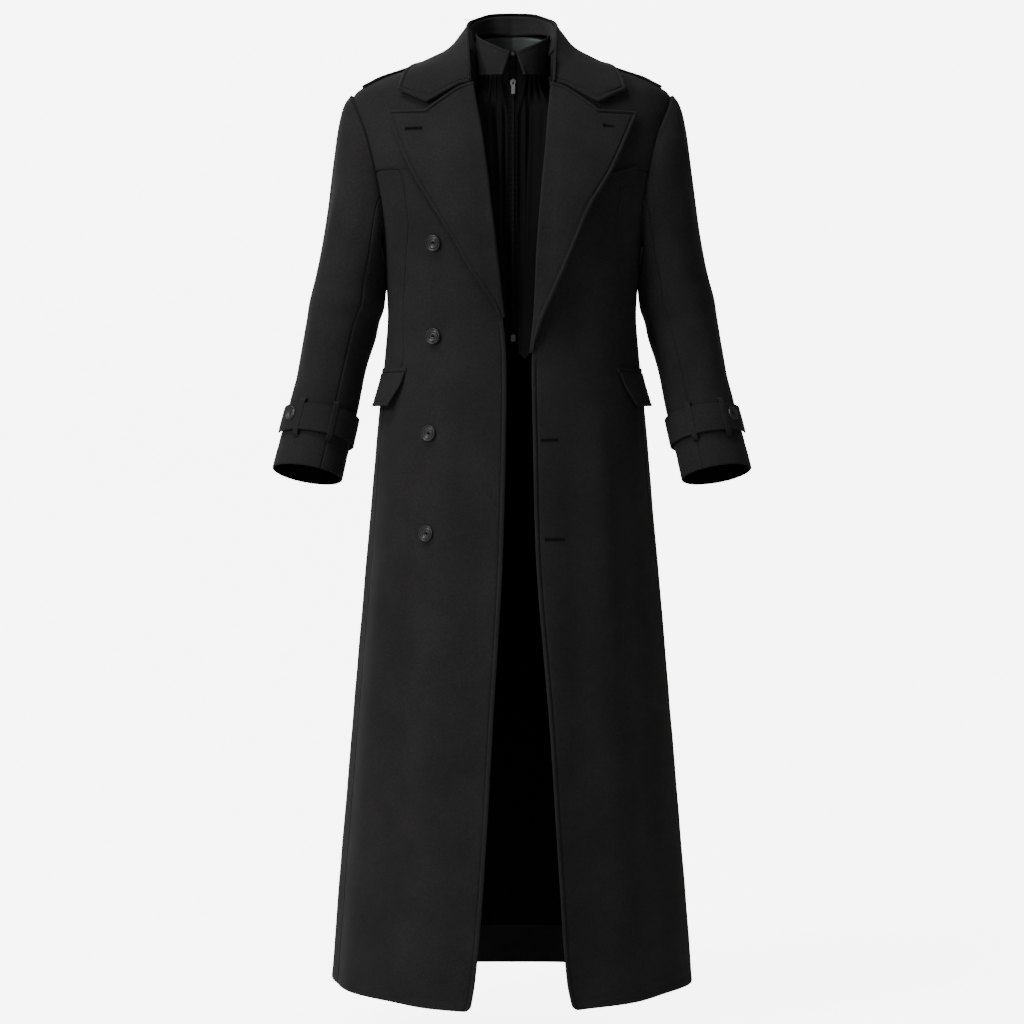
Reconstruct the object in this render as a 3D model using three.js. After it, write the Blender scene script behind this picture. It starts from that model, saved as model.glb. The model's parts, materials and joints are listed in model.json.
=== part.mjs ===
// Long double-breasted wool overcoat, hollow as it is worn, in millimetres with +Z up.
// The front faces -Y and the wearer's right side lies at -X. Z = 0 is the height of the side neck points.
import * as THREE from 'three';

// Driving sizes of the cloth
const WOOL = 2.5;
const LINING = 1.0;
const SEAM = 0.3;
const CLEAR = 0.4;
const HEM_Z = -1351;
const SHOULDER_Z = -72;
const NECK_Z = -2;
const NAPE_Z = 26;

// Driving sizes of the armhole, as an oval on the body: a is the angle round the ring
const ARMHOLE = { midZ: -181, halfHeight: 109, frontAngle: 28, backAngle: 27 };

// Body rings: height, half width, front and back depth, squareness of the front and back halves
const RINGS = [
  { z: -1351, w: 261, f: 235, b: 112, nf: 1.72, nb: 2.5 },
  { z: -1223, w: 251.6, f: 222, b: 113, nf: 1.74, nb: 2.45 },
  { z: -1049, w: 237, f: 206, b: 113, nf: 1.78, nb: 2.4 },
  { z: -875, w: 222.6, f: 188, b: 113, nf: 1.84, nb: 2.35 },
  { z: -672, w: 205, f: 163, b: 112, nf: 1.92, nb: 2.3 },
  { z: -556, w: 195, f: 147, b: 108, nf: 2.0, nb: 2.3 },
  { z: -440, w: 183.4, f: 133, b: 98, nf: 2.05, nb: 2.3 },
  { z: -382, w: 180.5, f: 131, b: 97, nf: 2.1, nb: 2.3 },
  { z: -304, w: 186, f: 138, b: 108, nf: 2.15, nb: 2.35 },
  { z: -258, w: 194, f: 139, b: 114, nf: 2.2, nb: 2.4 },
  { z: -188, w: 217, f: 128, b: 119, nf: 2.2, nb: 2.4 },
  { z: -135, w: 227, f: 111, b: 117, nf: 2.2, nb: 2.35 },
  { z: -72, w: 226, f: 85, b: 104, nf: 2.1, nb: 2.2 },
  { z: -50, w: 194, f: 74, b: 98, nf: 2.0, nb: 2.1 },
  { z: -38, w: 160, f: 68, b: 94, nf: 2.0, nb: 2.08 },
  { z: -25, w: 121, f: 60, b: 89, nf: 2.0, nb: 2.05 },
  { z: -2, w: 79, f: 46, b: 79, nf: 2.0, nb: 2.0 },
  { z: 26, w: 57, f: 36, b: 72, nf: 2.0, nb: 2.0 },
];

// Front edge below the break of the lapel and roll line above it, one column for each side
const OPENING = [
  { z: -1351, right: -58, left: 84 },
  { z: -1310, right: -51, left: 75 },
  { z: -1175, right: -39, left: 65 },
  { z: -960, right: -26, left: 51 },
  { z: -745, right: -13, left: 34 },
  { z: -556, right: -8, left: 29 },
  { z: -450, right: -8, left: 28 },
  { z: -397, right: -13, left: 33 },
  { z: -353, right: -18, left: 35 },
  { z: -256, right: -29.5, left: 41 },
  { z: -156, right: -42, left: 50 },
  { z: -58, right: -58, left: 58 },
  { z: -2, right: -62, left: 62 },
];

// Seam between front and side panel: distance from the middle, down to the pocket and then near the side
const SIDE_SEAM = [
  { z: -1351, x: 253 },
  { z: -960, x: 222 },
  { z: -640, x: 194 },
  { z: -520, x: 184 },
  { z: -495, x: 180 },
  { z: -464, x: 156 },
  { z: -397, x: 155 },
  { z: -303, x: 150 },
  { z: -266, x: 147 },
  { z: -230, x: 151 },
  { z: -200, x: 155 },
  { z: -187, x: 162 },
];
const ARM_SEAM_Z = -186.4;
const BACK_SEAM_ANGLE = { hem: 112, armhole: 117 };

const DEG = Math.PI / 180;
const lerp = (a, b, t) => a + (b - a) * t;
const smooth = (t) => t * t * (3 - 2 * t);
const clamp01 = (t) => Math.min(1, Math.max(0, t));
const V = (x, y, z) => new THREE.Vector3(x, y, z);

// A smooth curve through a column of a table, against its key column
function curve(table, key, column, at) {
  const rows = table[0][key] <= table[table.length - 1][key] ? table : [...table].reverse();
  const last = rows.length - 1;
  const x = Math.min(Math.max(at, rows[0][key]), rows[last][key]);
  let i = 0;
  while (i < last - 1 && x > rows[i + 1][key]) i += 1;
  const slope = (k) => {
    const a = rows[Math.max(0, k - 1)];
    const b = rows[Math.min(last, k + 1)];
    return (b[column] - a[column]) / (b[key] - a[key]);
  };
  const h = rows[i + 1][key] - rows[i][key];
  const t = (x - rows[i][key]) / h;
  const t2 = t * t;
  const t3 = t2 * t;
  return (2 * t3 - 3 * t2 + 1) * rows[i][column] + (t3 - 2 * t2 + t) * h * slope(i)
    + (3 * t2 - 2 * t3) * rows[i + 1][column] + (t3 - t2) * h * slope(i + 1);
}

// The ring of the body at one height
function ring(z) {
  return {
    w: curve(RINGS, 'z', 'w', z),
    f: curve(RINGS, 'z', 'f', z),
    b: curve(RINGS, 'z', 'b', z),
    nf: curve(RINGS, 'z', 'nf', z),
    nb: curve(RINGS, 'z', 'nb', z),
  };
}

// Outer face of the body: angle 0 is the front middle, 90 the side and 180 the back middle
function bodyPoint(angle, z) {
  const r = ring(z);
  const inFront = angle <= 90;
  const n = inFront ? r.nf : r.nb;
  const s = Math.abs(Math.sin(angle * DEG)) ** (2 / n);
  const c = Math.abs(Math.cos(angle * DEG)) ** (2 / n);
  return V(r.w * s, inFront ? -r.f * c : r.b * c, z);
}

function bodyNormal(angle, z) {
  const h = 0.5;
  const a = Math.min(Math.max(angle, 1.2), 178.8);
  const zz = Math.min(Math.max(z, HEM_Z + 1), NAPE_Z - 1);
  const round = bodyPoint(a + h, zz).sub(bodyPoint(a - h, zz));
  const up = bodyPoint(a, zz + 1).sub(bodyPoint(a, zz - 1));
  return round.cross(up).normalize();
}

// The angle on the front half at a distance x from the middle
function frontAngle(x, z) {
  const r = ring(z);
  return Math.asin(Math.min(1, Math.abs(x) / r.w) ** (r.nf / 2)) / DEG;
}

// The level of a point against the body's outer face: 1 is on the face, and more lies outside it
function level(p) {
  const r = ring(p.z);
  const n = p.y <= 0 ? r.nf : r.nb;
  const d = p.y <= 0 ? r.f : r.b;
  return ((Math.abs(p.x) / r.w) ** n + (Math.abs(p.y) / d) ** n) ** (1 / n);
}

function slopeOf(p) {
  const h = 0.5;
  const g = (dx, dy, dz) => level(V(p.x + dx, p.y + dy, p.z + dz)) - level(V(p.x - dx, p.y - dy, p.z - dz));
  return V(g(h, 0, 0), g(0, h, 0), g(0, 0, h)).divideScalar(2 * h);
}

// Moves a point along the slope until it lies at a chosen height over the body's outer face
function laidOn(p, height) {
  const q = p.clone();
  for (let i = 0; i < 8; i += 1) {
    const slope = slopeOf(q);
    const gap = (level(q) - 1) / slope.length();
    q.addScaledVector(slope.normalize(), height - gap);
  }
  return q;
}

// The point on the front at a place in the front view, raised over the cloth by a height
function onFront(x, z, height) {
  const r = ring(z);
  const inside = Math.max(0.02, 1 - Math.min(1, Math.abs(x) / r.w) ** r.nf);
  const p = V(x, -r.f * inside ** (1 / r.nf), z);
  const n = slopeOf(p).normalize();
  return p.addScaledVector(n, height);
}

// A closed wall between two grids of points, outer and inner
function wall(outer, inner) {
  const rows = outer.length;
  const cols = outer[0].length;
  const positions = [];
  const add = (g) => g.forEach((line) => line.forEach((p) => positions.push(p.x, p.y, p.z)));
  add(outer);
  add(inner);
  const o = (i, j) => i * cols + j;
  const n = (i, j) => rows * cols + i * cols + j;
  const index = [];
  const quad = (a, b, c, d) => index.push(a, b, c, a, c, d);
  for (let i = 0; i < rows - 1; i += 1) {
    for (let j = 0; j < cols - 1; j += 1) {
      quad(o(i, j), o(i, j + 1), o(i + 1, j + 1), o(i + 1, j));
      quad(n(i, j), n(i + 1, j), n(i + 1, j + 1), n(i, j + 1));
    }
  }
  for (let j = 0; j < cols - 1; j += 1) {
    quad(o(0, j), n(0, j), n(0, j + 1), o(0, j + 1));
    quad(o(rows - 1, j), o(rows - 1, j + 1), n(rows - 1, j + 1), n(rows - 1, j));
  }
  for (let i = 0; i < rows - 1; i += 1) {
    quad(o(i, 0), o(i + 1, 0), n(i + 1, 0), n(i, 0));
    quad(o(i, cols - 1), n(i, cols - 1), n(i + 1, cols - 1), o(i + 1, cols - 1));
  }
  const g = new THREE.BufferGeometry();
  g.setAttribute('position', new THREE.Float32BufferAttribute(positions, 3));
  g.setIndex(index);
  return facingOut(g);
}

// Turns the faces round when a closed form has them pointing in
function facingOut(g) {
  const p = g.getAttribute('position');
  const k = g.index.array;
  const a = V(0, 0, 0);
  const b = V(0, 0, 0);
  const c = V(0, 0, 0);
  let volume = 0;
  for (let i = 0; i < k.length; i += 3) {
    a.fromBufferAttribute(p, k[i]);
    b.fromBufferAttribute(p, k[i + 1]);
    c.fromBufferAttribute(p, k[i + 2]);
    volume += a.dot(b.cross(c));
  }
  if (volume < 0) {
    for (let i = 0; i < k.length; i += 3) [k[i], k[i + 1]] = [k[i + 1], k[i]];
  }
  g.computeVertexNormals();
  return g;
}

// Normals of a grid from its neighbours; side +1 or -1 says which way is out
function gridNormals(grid, side) {
  const rows = grid.length;
  const cols = grid[0].length;
  return grid.map((line, i) => line.map((p, j) => {
    const du = grid[i][Math.min(cols - 1, j + 1)].clone().sub(grid[i][Math.max(0, j - 1)]);
    const dv = grid[Math.min(rows - 1, i + 1)][j].clone().sub(grid[Math.max(0, i - 1)][j]);
    return du.cross(dv).normalize().multiplyScalar(side);
  }));
}

// A wall made from its outer grid, thickened inwards along the grid's own normals
function sheetWall(grid, thickness, side) {
  const normals = gridNormals(grid, side);
  const inner = grid.map((line, i) => line.map((p, j) => p.clone().addScaledVector(normals[i][j], -thickness)));
  return wall(grid, inner);
}

function makeGrid(rows, cols, point) {
  const grid = [];
  for (let i = 0; i <= rows; i += 1) {
    const line = [];
    for (let j = 0; j <= cols; j += 1) line.push(point(i / rows, j / cols));
    grid.push(line);
  }
  return grid;
}

const mirrored = (grid, side) => grid.map((line) => line.map((p) => V(p.x * side, p.y, p.z)));

// Materials, with the colour, roughness and metalness of the real ones
function finish(color, roughness, metalness = 0) {
  return new THREE.MeshStandardMaterial({ color, roughness, metalness });
}
const MATERIALS = {
  wool: finish(0x24221f, 0.95),
  satin: finish(0x101012, 0.4),
  neckCloth: finish(0x2c3432, 0.8),
  horn: finish(0x2a2a2b, 0.35),
  tape: finish(0x121212, 0.8),
  metal: finish(0x8a8a88, 0.3, 1),
};

const coat = new THREE.Group();
function addPiece(name, geometry, material, parent = coat) {
  const mesh = new THREE.Mesh(geometry, material);
  mesh.name = name;
  parent.add(mesh);
  return mesh;
}

const SIDES = [
  { name: 'right', sign: -1 },
  { name: 'left', sign: 1 },
];

// Rows of a body panel: even steps in the skirt, closer ones over the chest and shoulder
const SKIRT_ROWS = [-1351, -1295, -1150, -1000, -850, -700, -580, -495, -464, -430, -382, -340, -304];
const CHEST_ROWS = [-265, -230, -200, -187, ARM_SEAM_Z];
const YOKE_ROWS = [-150, -110, -88, -72, -50, -38, -25, -2];

// Half the armhole's angle at a height, and its lower edge at an angle
function armholeHalf(z, spread) {
  const k = Math.min(1, Math.abs(z - ARMHOLE.midZ) / ARMHOLE.halfHeight);
  return spread * Math.sqrt(Math.max(0, 1 - k * k));
}

function armholeLowZ(angle) {
  const spread = angle < 90 ? ARMHOLE.frontAngle : ARMHOLE.backAngle;
  const k = Math.min(1, Math.abs(angle - 90) / spread);
  return ARMHOLE.midZ - ARMHOLE.halfHeight * Math.sqrt(Math.max(0, 1 - k * k));
}

const isYoke = (z) => z >= ARM_SEAM_Z;
const frontOuterAngle = (z) => {
  if (z >= SHOULDER_Z) return 90;
  if (isYoke(z)) return 90 - armholeHalf(z, ARMHOLE.frontAngle);
  return frontAngle(curve(SIDE_SEAM, 'z', 'x', z), z);
};
const backSeamAngle = (z) => lerp(BACK_SEAM_ANGLE.hem, BACK_SEAM_ANGLE.armhole,
  clamp01((z - HEM_Z) / (ARMHOLE.midZ - HEM_Z)));
const backOuterAngle = (z) => {
  if (z >= SHOULDER_Z) return 90;
  if (isYoke(z)) return 90 + armholeHalf(z, ARMHOLE.backAngle);
  return backSeamAngle(z);
};

// An angle step that opens a seam by half its gap at a height
const seamStep = (z) => (SEAM / 2 / Math.max(60, ring(z).w * 0.5)) / DEG;

// The angle at the back that lies half a seam's gap from the middle
function centreBackAngle(z) {
  const r = ring(z);
  return 180 - Math.asin((SEAM / 2 / r.w) ** (r.nb / 2)) / DEG;
}

// A panel of the body, thickened inwards along the form's own normals
function bodyPanel(rowZ, cols, angleAt, depth = 0, thickness = WOOL) {
  const outer = [];
  const inner = [];
  rowZ.forEach((row) => {
    const lineOut = [];
    const lineIn = [];
    for (let j = 0; j <= cols; j += 1) {
      const { angle, z } = angleAt(row, j / cols);
      const p = bodyPoint(angle, z);
      const n = bodyNormal(angle, z);
      lineOut.push(p.clone().addScaledVector(n, -depth));
      lineIn.push(p.clone().addScaledVector(n, -depth - thickness));
    }
    outer.push(lineOut);
    inner.push(lineIn);
  });
  return { outer, inner };
}

const panelWall = (panel, sign) => wall(mirrored(panel.outer, sign), mirrored(panel.inner, sign));

// Front: from the opening edge, or the roll line, to the seam, the armhole and the shoulder
const FRONT_COLS = 8;
function makeFront(side) {
  const rows = [...SKIRT_ROWS, ...CHEST_ROWS, ...YOKE_ROWS];
  const panel = bodyPanel(rows, FRONT_COLS, (z, s) => {
    const from = frontAngle(curve(OPENING, 'z', side.name, z), z);
    const to = frontOuterAngle(z) - seamStep(z);
    return { angle: lerp(from, to, s), z };
  });
  addPiece(`front_${side.name}`, panelWall(panel, side.sign), MATERIALS.wool);
}

// Side panel: from the front seam round to the back seam, up to the armhole's lower edge
const SIDE_COLS = 10;
const SIDE_TOP = { start: -340, seam: -187 - SEAM };
function makeSide(side) {
  const rows = [...SKIRT_ROWS, ...CHEST_ROWS].filter((z) => z < SIDE_TOP.seam).concat(SIDE_TOP.seam);
  const panel = bodyPanel(rows, SIDE_COLS, (row, s) => {
    const k = clamp01((row - SIDE_TOP.start) / (SIDE_TOP.seam - SIDE_TOP.start));
    const from = frontOuterAngle(row) + seamStep(row);
    const to = backSeamAngle(row) - seamStep(row);
    const top = Math.min(SIDE_TOP.seam, armholeLowZ(lerp(from, to, s)) - SEAM);
    return { angle: lerp(from, to, s), z: k > 0 ? lerp(SIDE_TOP.start, top, k) : row };
  });
  addPiece(`side_${side.name}`, panelWall(panel, side.sign), MATERIALS.wool);
}

// Back: half of the back, from the centre seam to the back seam, the armhole and the shoulder
const BACK_COLS = 8;
function backGrid(rows, cols, depth, thickness, shown) {
  return bodyPanel(rows, cols, (row, s) => {
    const k = s * shown;
    const z = row > NECK_Z ? lerp(row, NECK_Z + 1, k * k) : row;
    const to = backOuterAngle(row) + seamStep(row);
    return { angle: lerp(centreBackAngle(row), to, k), z };
  }, depth, thickness);
}

function makeBack(side) {
  const rows = [...SKIRT_ROWS, ...CHEST_ROWS, ...YOKE_ROWS, 12, NAPE_Z];
  addPiece(`back_${side.name}`, panelWall(backGrid(rows, BACK_COLS, 0, WOOL, 1), side.sign), MATERIALS.wool);
}

// Linings that show inside the back: black satin in the body and grey cloth at the neck
const LINING_EDGE = { hem: -1295, neck: -110, nape: 12 };
function makeLinings(side) {
  const rows = [...SKIRT_ROWS, ...CHEST_ROWS, ...YOKE_ROWS, LINING_EDGE.nape];
  const low = rows.filter((z) => z >= LINING_EDGE.hem && z < LINING_EDGE.neck).concat(LINING_EDGE.neck - SEAM);
  const high = rows.filter((z) => z >= LINING_EDGE.neck);
  const shown = (BACK_COLS - 1) / BACK_COLS;
  const depth = WOOL + SEAM;
  const lining = (part) => panelWall(backGrid(part, BACK_COLS - 1, depth, LINING, shown), side.sign);
  addPiece(`back_lining_${side.name}`, lining(low), MATERIALS.satin);
  addPiece(`neck_lining_${side.name}`, lining(high), MATERIALS.neckCloth);
}

SIDES.forEach((side) => {
  makeFront(side);
  makeSide(side);
  makeBack(side);
  makeLinings(side);
});

// Lapels: the outer edge and the top edge, with the peak and the notch, as seen from the front
const LAPEL_EDGE = [
  { z: -455, right: -4, left: 24 },
  { z: -425, right: -8, left: 34.5 },
  { z: -402, right: -16.8, left: 41 },
  { z: -374, right: -28, left: 52 },
  { z: -330, right: -57, left: 70 },
  { z: -282, right: -84, left: 89 },
  { z: -240, right: -111, left: 108 },
  { z: -193, right: -139, left: 136.5 },
  { z: -144, right: -161.5, left: 160 },
  { z: -103, right: -176, left: 178 },
];
const PEAK = { right: { x: 176, z: -102 }, left: { x: 178.5, z: -105 } };
const LAPEL_START = { right: -398, left: -448 };
const LAPEL_TOP = [
  { s: 0, x: 58, z: -63.5 },
  { s: 0.14, x: 73.7, z: -69 },
  { s: 0.5, x: 117, z: -99 },
  { s: 0.58, x: 121, z: -103.5 },
];
const LAPEL = { rows: 11, cols: 7, rest: 4.8, edge: 4.4, puff: 2.6, puffWidth: 70, risesOver: 20 };

// The turned edge along the roll line, as steps beside the line and over the cloth
const TURN = [
  { beside: -3.4, over: -0.4 },
  { beside: -3.0, over: 2.6 },
  { beside: -0.8, over: 4.6 },
];

function lapelTop(s, side) {
  const peak = PEAK[side.name];
  const rows = [...LAPEL_TOP, { s: 1, x: peak.x, z: peak.z }];
  let i = 0;
  while (i < rows.length - 2 && s > rows[i + 1].s) i += 1;
  const t = (s - rows[i].s) / (rows[i + 1].s - rows[i].s);
  return { x: lerp(rows[i].x, rows[i + 1].x, t), z: lerp(rows[i].z, rows[i + 1].z, t) };
}

function lapelPlace(r, s, side) {
  const startZ = LAPEL_START[side.name];
  const peak = PEAK[side.name];
  const rollZ = lerp(startZ, LAPEL_TOP[0].z, r);
  const roll = { x: Math.abs(curve(OPENING, 'z', side.name, rollZ)), z: rollZ };
  if (r === 1) roll.x = LAPEL_TOP[0].x;
  const edgeZ = lerp(startZ + 4, peak.z, r);
  const edge = { x: Math.max(Math.abs(curve(LAPEL_EDGE, 'z', side.name, edgeZ)), roll.x + 5), z: edgeZ };
  if (r === 1) edge.x = peak.x;
  const top = lapelTop(s, side);
  const pull = r ** 7;
  const straightTop = { x: lerp(LAPEL_TOP[0].x, peak.x, s), z: lerp(LAPEL_TOP[0].z, peak.z, s) };
  return {
    x: lerp(roll.x, edge.x, s) + pull * (top.x - straightTop.x),
    z: lerp(roll.z, edge.z, s) + pull * (top.z - straightTop.z),
  };
}

function makeLapel(side) {
  const grid = [];
  for (let i = 0; i <= LAPEL.rows; i += 1) {
    const r = i / LAPEL.rows;
    const roll = lapelPlace(r, 0, side);
    const line = TURN.map((step) => onFront(roll.x + step.beside, roll.z, step.over));
    for (let j = 1; j <= LAPEL.cols; j += 1) {
      const s = j / LAPEL.cols;
      const place = lapelPlace(r, s, side);
      const width = Math.abs(place.x - roll.x);
      const rise = clamp01(width / LAPEL.risesOver);
      const puff = LAPEL.puff * Math.sin(Math.PI * Math.min(1, width / LAPEL.puffWidth)) * rise;
      line.push(onFront(place.x, place.z, lerp(LAPEL.rest, LAPEL.edge, s) + puff));
    }
    grid.push(line);
  }
  addPiece(`lapel_${side.name}`, sheetWall(mirrored(grid, side.sign), WOOL, side.sign), MATERIALS.wool);
}

// Collar: the fold round the neck, the outer edge and the foot of the stand; u is 0 behind and 1 in front
const COLLAR = [
  { u: 0, fx: 0, fy: 71, fz: 57.5, ex: 0, ey: 104, ez: -43, sx: 0, sy: 69, sz: 27.2 },
  { u: 0.15, fx: 31, fy: 62, fz: 54.5, ex: 44, ey: 99, ez: -41, sx: 31, sy: 58, sz: 27 },
  { u: 0.3, fx: 52, fy: 36, fz: 45, ex: 88, ey: 80, ez: -35, sx: 48, sy: 36, sz: 23 },
  { u: 0.45, fx: 64, fy: -2, fz: 32, ex: 122, ey: 46, ez: -30, sx: 58, sy: 0, sz: 13 },
  { u: 0.62, fx: 64, fy: -34, fz: 12, ex: 141, ey: 8, ez: -31, sx: 56, sy: -29, sz: -3 },
  { u: 0.8, fx: 62, fy: -63, fz: -22, ex: 153, ey: -34, ez: -48, sx: 54, sy: -46, sz: -28 },
  { u: 1, fx: 60, fy: -84, fz: -60.2, ex: 161, ey: -66, ez: -74, sx: 51, sy: -58, sz: -50 },
];
const COLLAR_FRONT = [
  { s: 0, x: 60, z: -60.2 },
  { s: 0.16, x: 73.7, z: -65.8 },
  { s: 0.55, x: 117.4, z: -97 },
  { s: 1, x: 161, z: -74 },
];
const LEAF = { along: 26, across: 6, rest: 4.8, overStrap: 9.2, strapAt: 0.6, strapSpread: 0.22 };
const FOLD = [
  { out: -3.2, up: 0.2 },
  { out: -1.0, up: 1.8 },
  { out: 1.6, up: 0.4 },
];
const STAND = { along: 18, across: 3, from: 0.74, inset: 1.8, below: 3.6 };

const collarRow = (u, keys) => V(...keys.map((key) => curve(COLLAR, 'u', key, u)));
const sideways = (p, sign) => V(p.x * sign, p.y, p.z);
function outward(p, out, up) {
  const r = Math.hypot(p.x, p.y);
  return V(p.x * (1 + out / r), p.y * (1 + out / r), p.z + up);
}

function collarFront(s) {
  let i = 0;
  while (i < COLLAR_FRONT.length - 2 && s > COLLAR_FRONT[i + 1].s) i += 1;
  const a = COLLAR_FRONT[i];
  const b = COLLAR_FRONT[i + 1];
  const t = (s - a.s) / (b.s - a.s);
  return { x: lerp(a.x, b.x, t), z: lerp(a.z, b.z, t) };
}

const leafRest = (u) => lerp(LEAF.rest, LEAF.overStrap,
  smooth(clamp01(1 - Math.abs(u - LEAF.strapAt) / LEAF.strapSpread)));

function leafPoint(u, s) {
  const fold = collarRow(u, ['fx', 'fy', 'fz']);
  const edge = collarRow(u, ['ex', 'ey', 'ez']);
  const p = fold.clone().lerp(edge, s);
  const end = collarFront(s);
  const [near, , , far] = COLLAR_FRONT;
  const pull = u ** 9;
  p.x += pull * (end.x - lerp(near.x, far.x, s));
  p.z += pull * (end.z - lerp(near.z, far.z, s));
  const slope = slopeOf(p);
  const height = (level(p) - 1) / slope.length();
  const rest = leafRest(u);
  const seat = u > 0.84 ? rest : lerp(Math.max(height, rest), rest, clamp01((s - 0.6) / 0.4));
  return height < rest || seat === rest ? laidOn(p, rest) : laidOn(p, seat);
}

function makeCollar() {
  const leaf = [];
  for (let i = 0; i <= LEAF.along; i += 1) {
    const k = (2 * i) / LEAF.along - 1;
    const sign = k < 0 ? -1 : 1;
    const u = Math.abs(k);
    const fold = collarRow(u, ['fx', 'fy', 'fz']);
    const line = FOLD.map((step) => outward(fold, step.out, step.up));
    for (let j = 1; j <= LEAF.across; j += 1) line.push(leafPoint(u, j / LEAF.across));
    leaf.push(line.map((p) => sideways(p, sign)));
  }
  addPiece('collar_leaf', sheetWall(leaf, WOOL, -1), MATERIALS.wool);

  const stand = [];
  for (let i = 0; i <= STAND.along; i += 1) {
    const k = ((2 * i) / STAND.along - 1) * STAND.from;
    const u = Math.abs(k);
    const top = outward(collarRow(u, ['fx', 'fy', 'fz']), -STAND.inset, -STAND.below);
    const foot = collarRow(u, ['sx', 'sy', 'sz']);
    const line = [];
    for (let j = 0; j <= STAND.across; j += 1) line.push(foot.clone().lerp(top, j / STAND.across));
    stand.push(line.map((p) => sideways(p, k < 0 ? -1 : 1)));
  }
  addPiece('collar_stand', sheetWall(stand, WOOL, 1), MATERIALS.wool);
}

// Sleeves: rings below the armhole; tilt is outwards and lean forwards, in degrees
const SLEEVE_RINGS = [
  { k: 0, x: 234.5, y: 4, z: -338, rx: 50.5, ry: 65, tilt: 10.5, lean: 0 },
  { k: 0.2, x: 242.5, y: 6, z: -392, rx: 55, ry: 62, tilt: 11.5, lean: 2 },
  { k: 0.45, x: 258, y: 1, z: -457, rx: 50.5, ry: 58, tilt: 12.5, lean: 9 },
  { k: 0.7, x: 271.5, y: -15, z: -520, rx: 49, ry: 55, tilt: 13, lean: 14 },
  { k: 1, x: 294, y: -45, z: -617, rx: 51.5, ry: 52, tilt: 13, lean: 16 },
];
const SLEEVE = { capRows: 6, tubeRows: 7, frontSeam: 114, backSeam: -112, topCols: 11, underCols: 7 };
const CAP = { out: 30, drop: 12, topReach: 108, frontReach: 60, start: 1.1, clear: 1.6 };

function tubePoint(k, t) {
  const at = (column) => curve(SLEEVE_RINGS, 'k', column, k);
  const tilt = at('tilt') * DEG;
  const lean = at('lean') * DEG;
  const across = V(Math.cos(tilt), 0, Math.sin(tilt));
  const down = V(Math.sin(tilt) * Math.cos(lean), -Math.sin(lean), -Math.cos(tilt) * Math.cos(lean));
  const forward = down.clone().cross(across);
  return V(at('x'), at('y'), at('z'))
    .addScaledVector(across, at('rx') * Math.cos(t * DEG))
    .addScaledVector(forward, at('ry') * Math.sin(t * DEG));
}

// A point of the armhole's edge: 0 is the shoulder tip, 90 the front and 180 under the arm
function armholePoint(t) {
  const spread = Math.sin(t * DEG) > 0 ? ARMHOLE.frontAngle : ARMHOLE.backAngle;
  const angle = 90 - spread * Math.sin(t * DEG);
  const z = ARMHOLE.midZ + ARMHOLE.halfHeight * Math.cos(t * DEG);
  return { p: bodyPoint(angle, z), n: bodyNormal(angle, z) };
}

function capPoint(m, t) {
  const hole = armholePoint(t);
  const top = (1 + Math.cos(t * DEG)) / 2;
  const lift = hole.n.clone().multiplyScalar(lerp(CAP.start, 0.1, top));
  const a = hole.p.clone().add(lift).add(V(CAP.start, 0, 0));
  const d = tubePoint(0, t);
  const front = Math.abs(Math.sin(t * DEG));
  const b = a.clone().add(V(lerp(1, CAP.out, top), -Math.sin(t * DEG) * 10, -lerp(12, CAP.drop, top)));
  const reach = lerp(lerp(14, CAP.topReach, top), CAP.frontReach, front * (1 - Math.abs(Math.cos(t * DEG))));
  const c = d.clone().add(V(-0.18, 0, 0.98).multiplyScalar(reach));
  const q = 1 - m;
  const p = a.multiplyScalar(q * q * q).addScaledVector(b, 3 * q * q * m)
    .addScaledVector(c, 3 * q * m * m).addScaledVector(d, m * m * m);
  const height = (level(p) - 1) / slopeOf(p).length();
  return m > 0 && height < CAP.clear ? laidOn(p, CAP.clear) : p;
}

const sleevePoint = (v, t) => (v < 0 ? capPoint(1 + v, t) : tubePoint(v, t));

function sleeveNormal(v, t) {
  const h = 0.02;
  const round = sleevePoint(v, t + 2).sub(sleevePoint(v, t - 2));
  const v0 = Math.max(-1, v - h);
  const v1 = Math.min(1, v + h);
  const down = sleevePoint(v1, t).sub(sleevePoint(v0, t));
  return round.cross(down).normalize();
}

function sleeveGrid(rows, cols, from, to, height) {
  return rows.map((v) => {
    const line = [];
    for (let j = 0; j <= cols; j += 1) {
      const t = lerp(from, to, j / cols);
      line.push(sleevePoint(v, t).addScaledVector(sleeveNormal(v, t), height));
    }
    return line;
  });
}

function makeSleeve(side) {
  const rows = [];
  for (let i = 0; i < SLEEVE.capRows; i += 1) rows.push(i / SLEEVE.capRows - 1);
  for (let i = 0; i <= SLEEVE.tubeRows; i += 1) rows.push(i / SLEEVE.tubeRows);
  const gap = 0.2;
  const parts = [
    { name: 'sleeve_top', cols: SLEEVE.topCols, from: SLEEVE.backSeam + gap, to: SLEEVE.frontSeam - gap },
    {
      name: 'sleeve_under', cols: SLEEVE.underCols,
      from: SLEEVE.frontSeam + gap, to: 360 + SLEEVE.backSeam - gap,
    },
  ];
  parts.forEach((part) => {
    const outer = sleeveGrid(rows, part.cols, part.from, part.to, 0);
    const inner = sleeveGrid(rows, part.cols, part.from, part.to, -WOOL);
    const geometry = wall(mirrored(outer, side.sign), mirrored(inner, side.sign));
    addPiece(`${part.name}_${side.name}`, geometry, MATERIALS.wool);
  });
}

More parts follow.
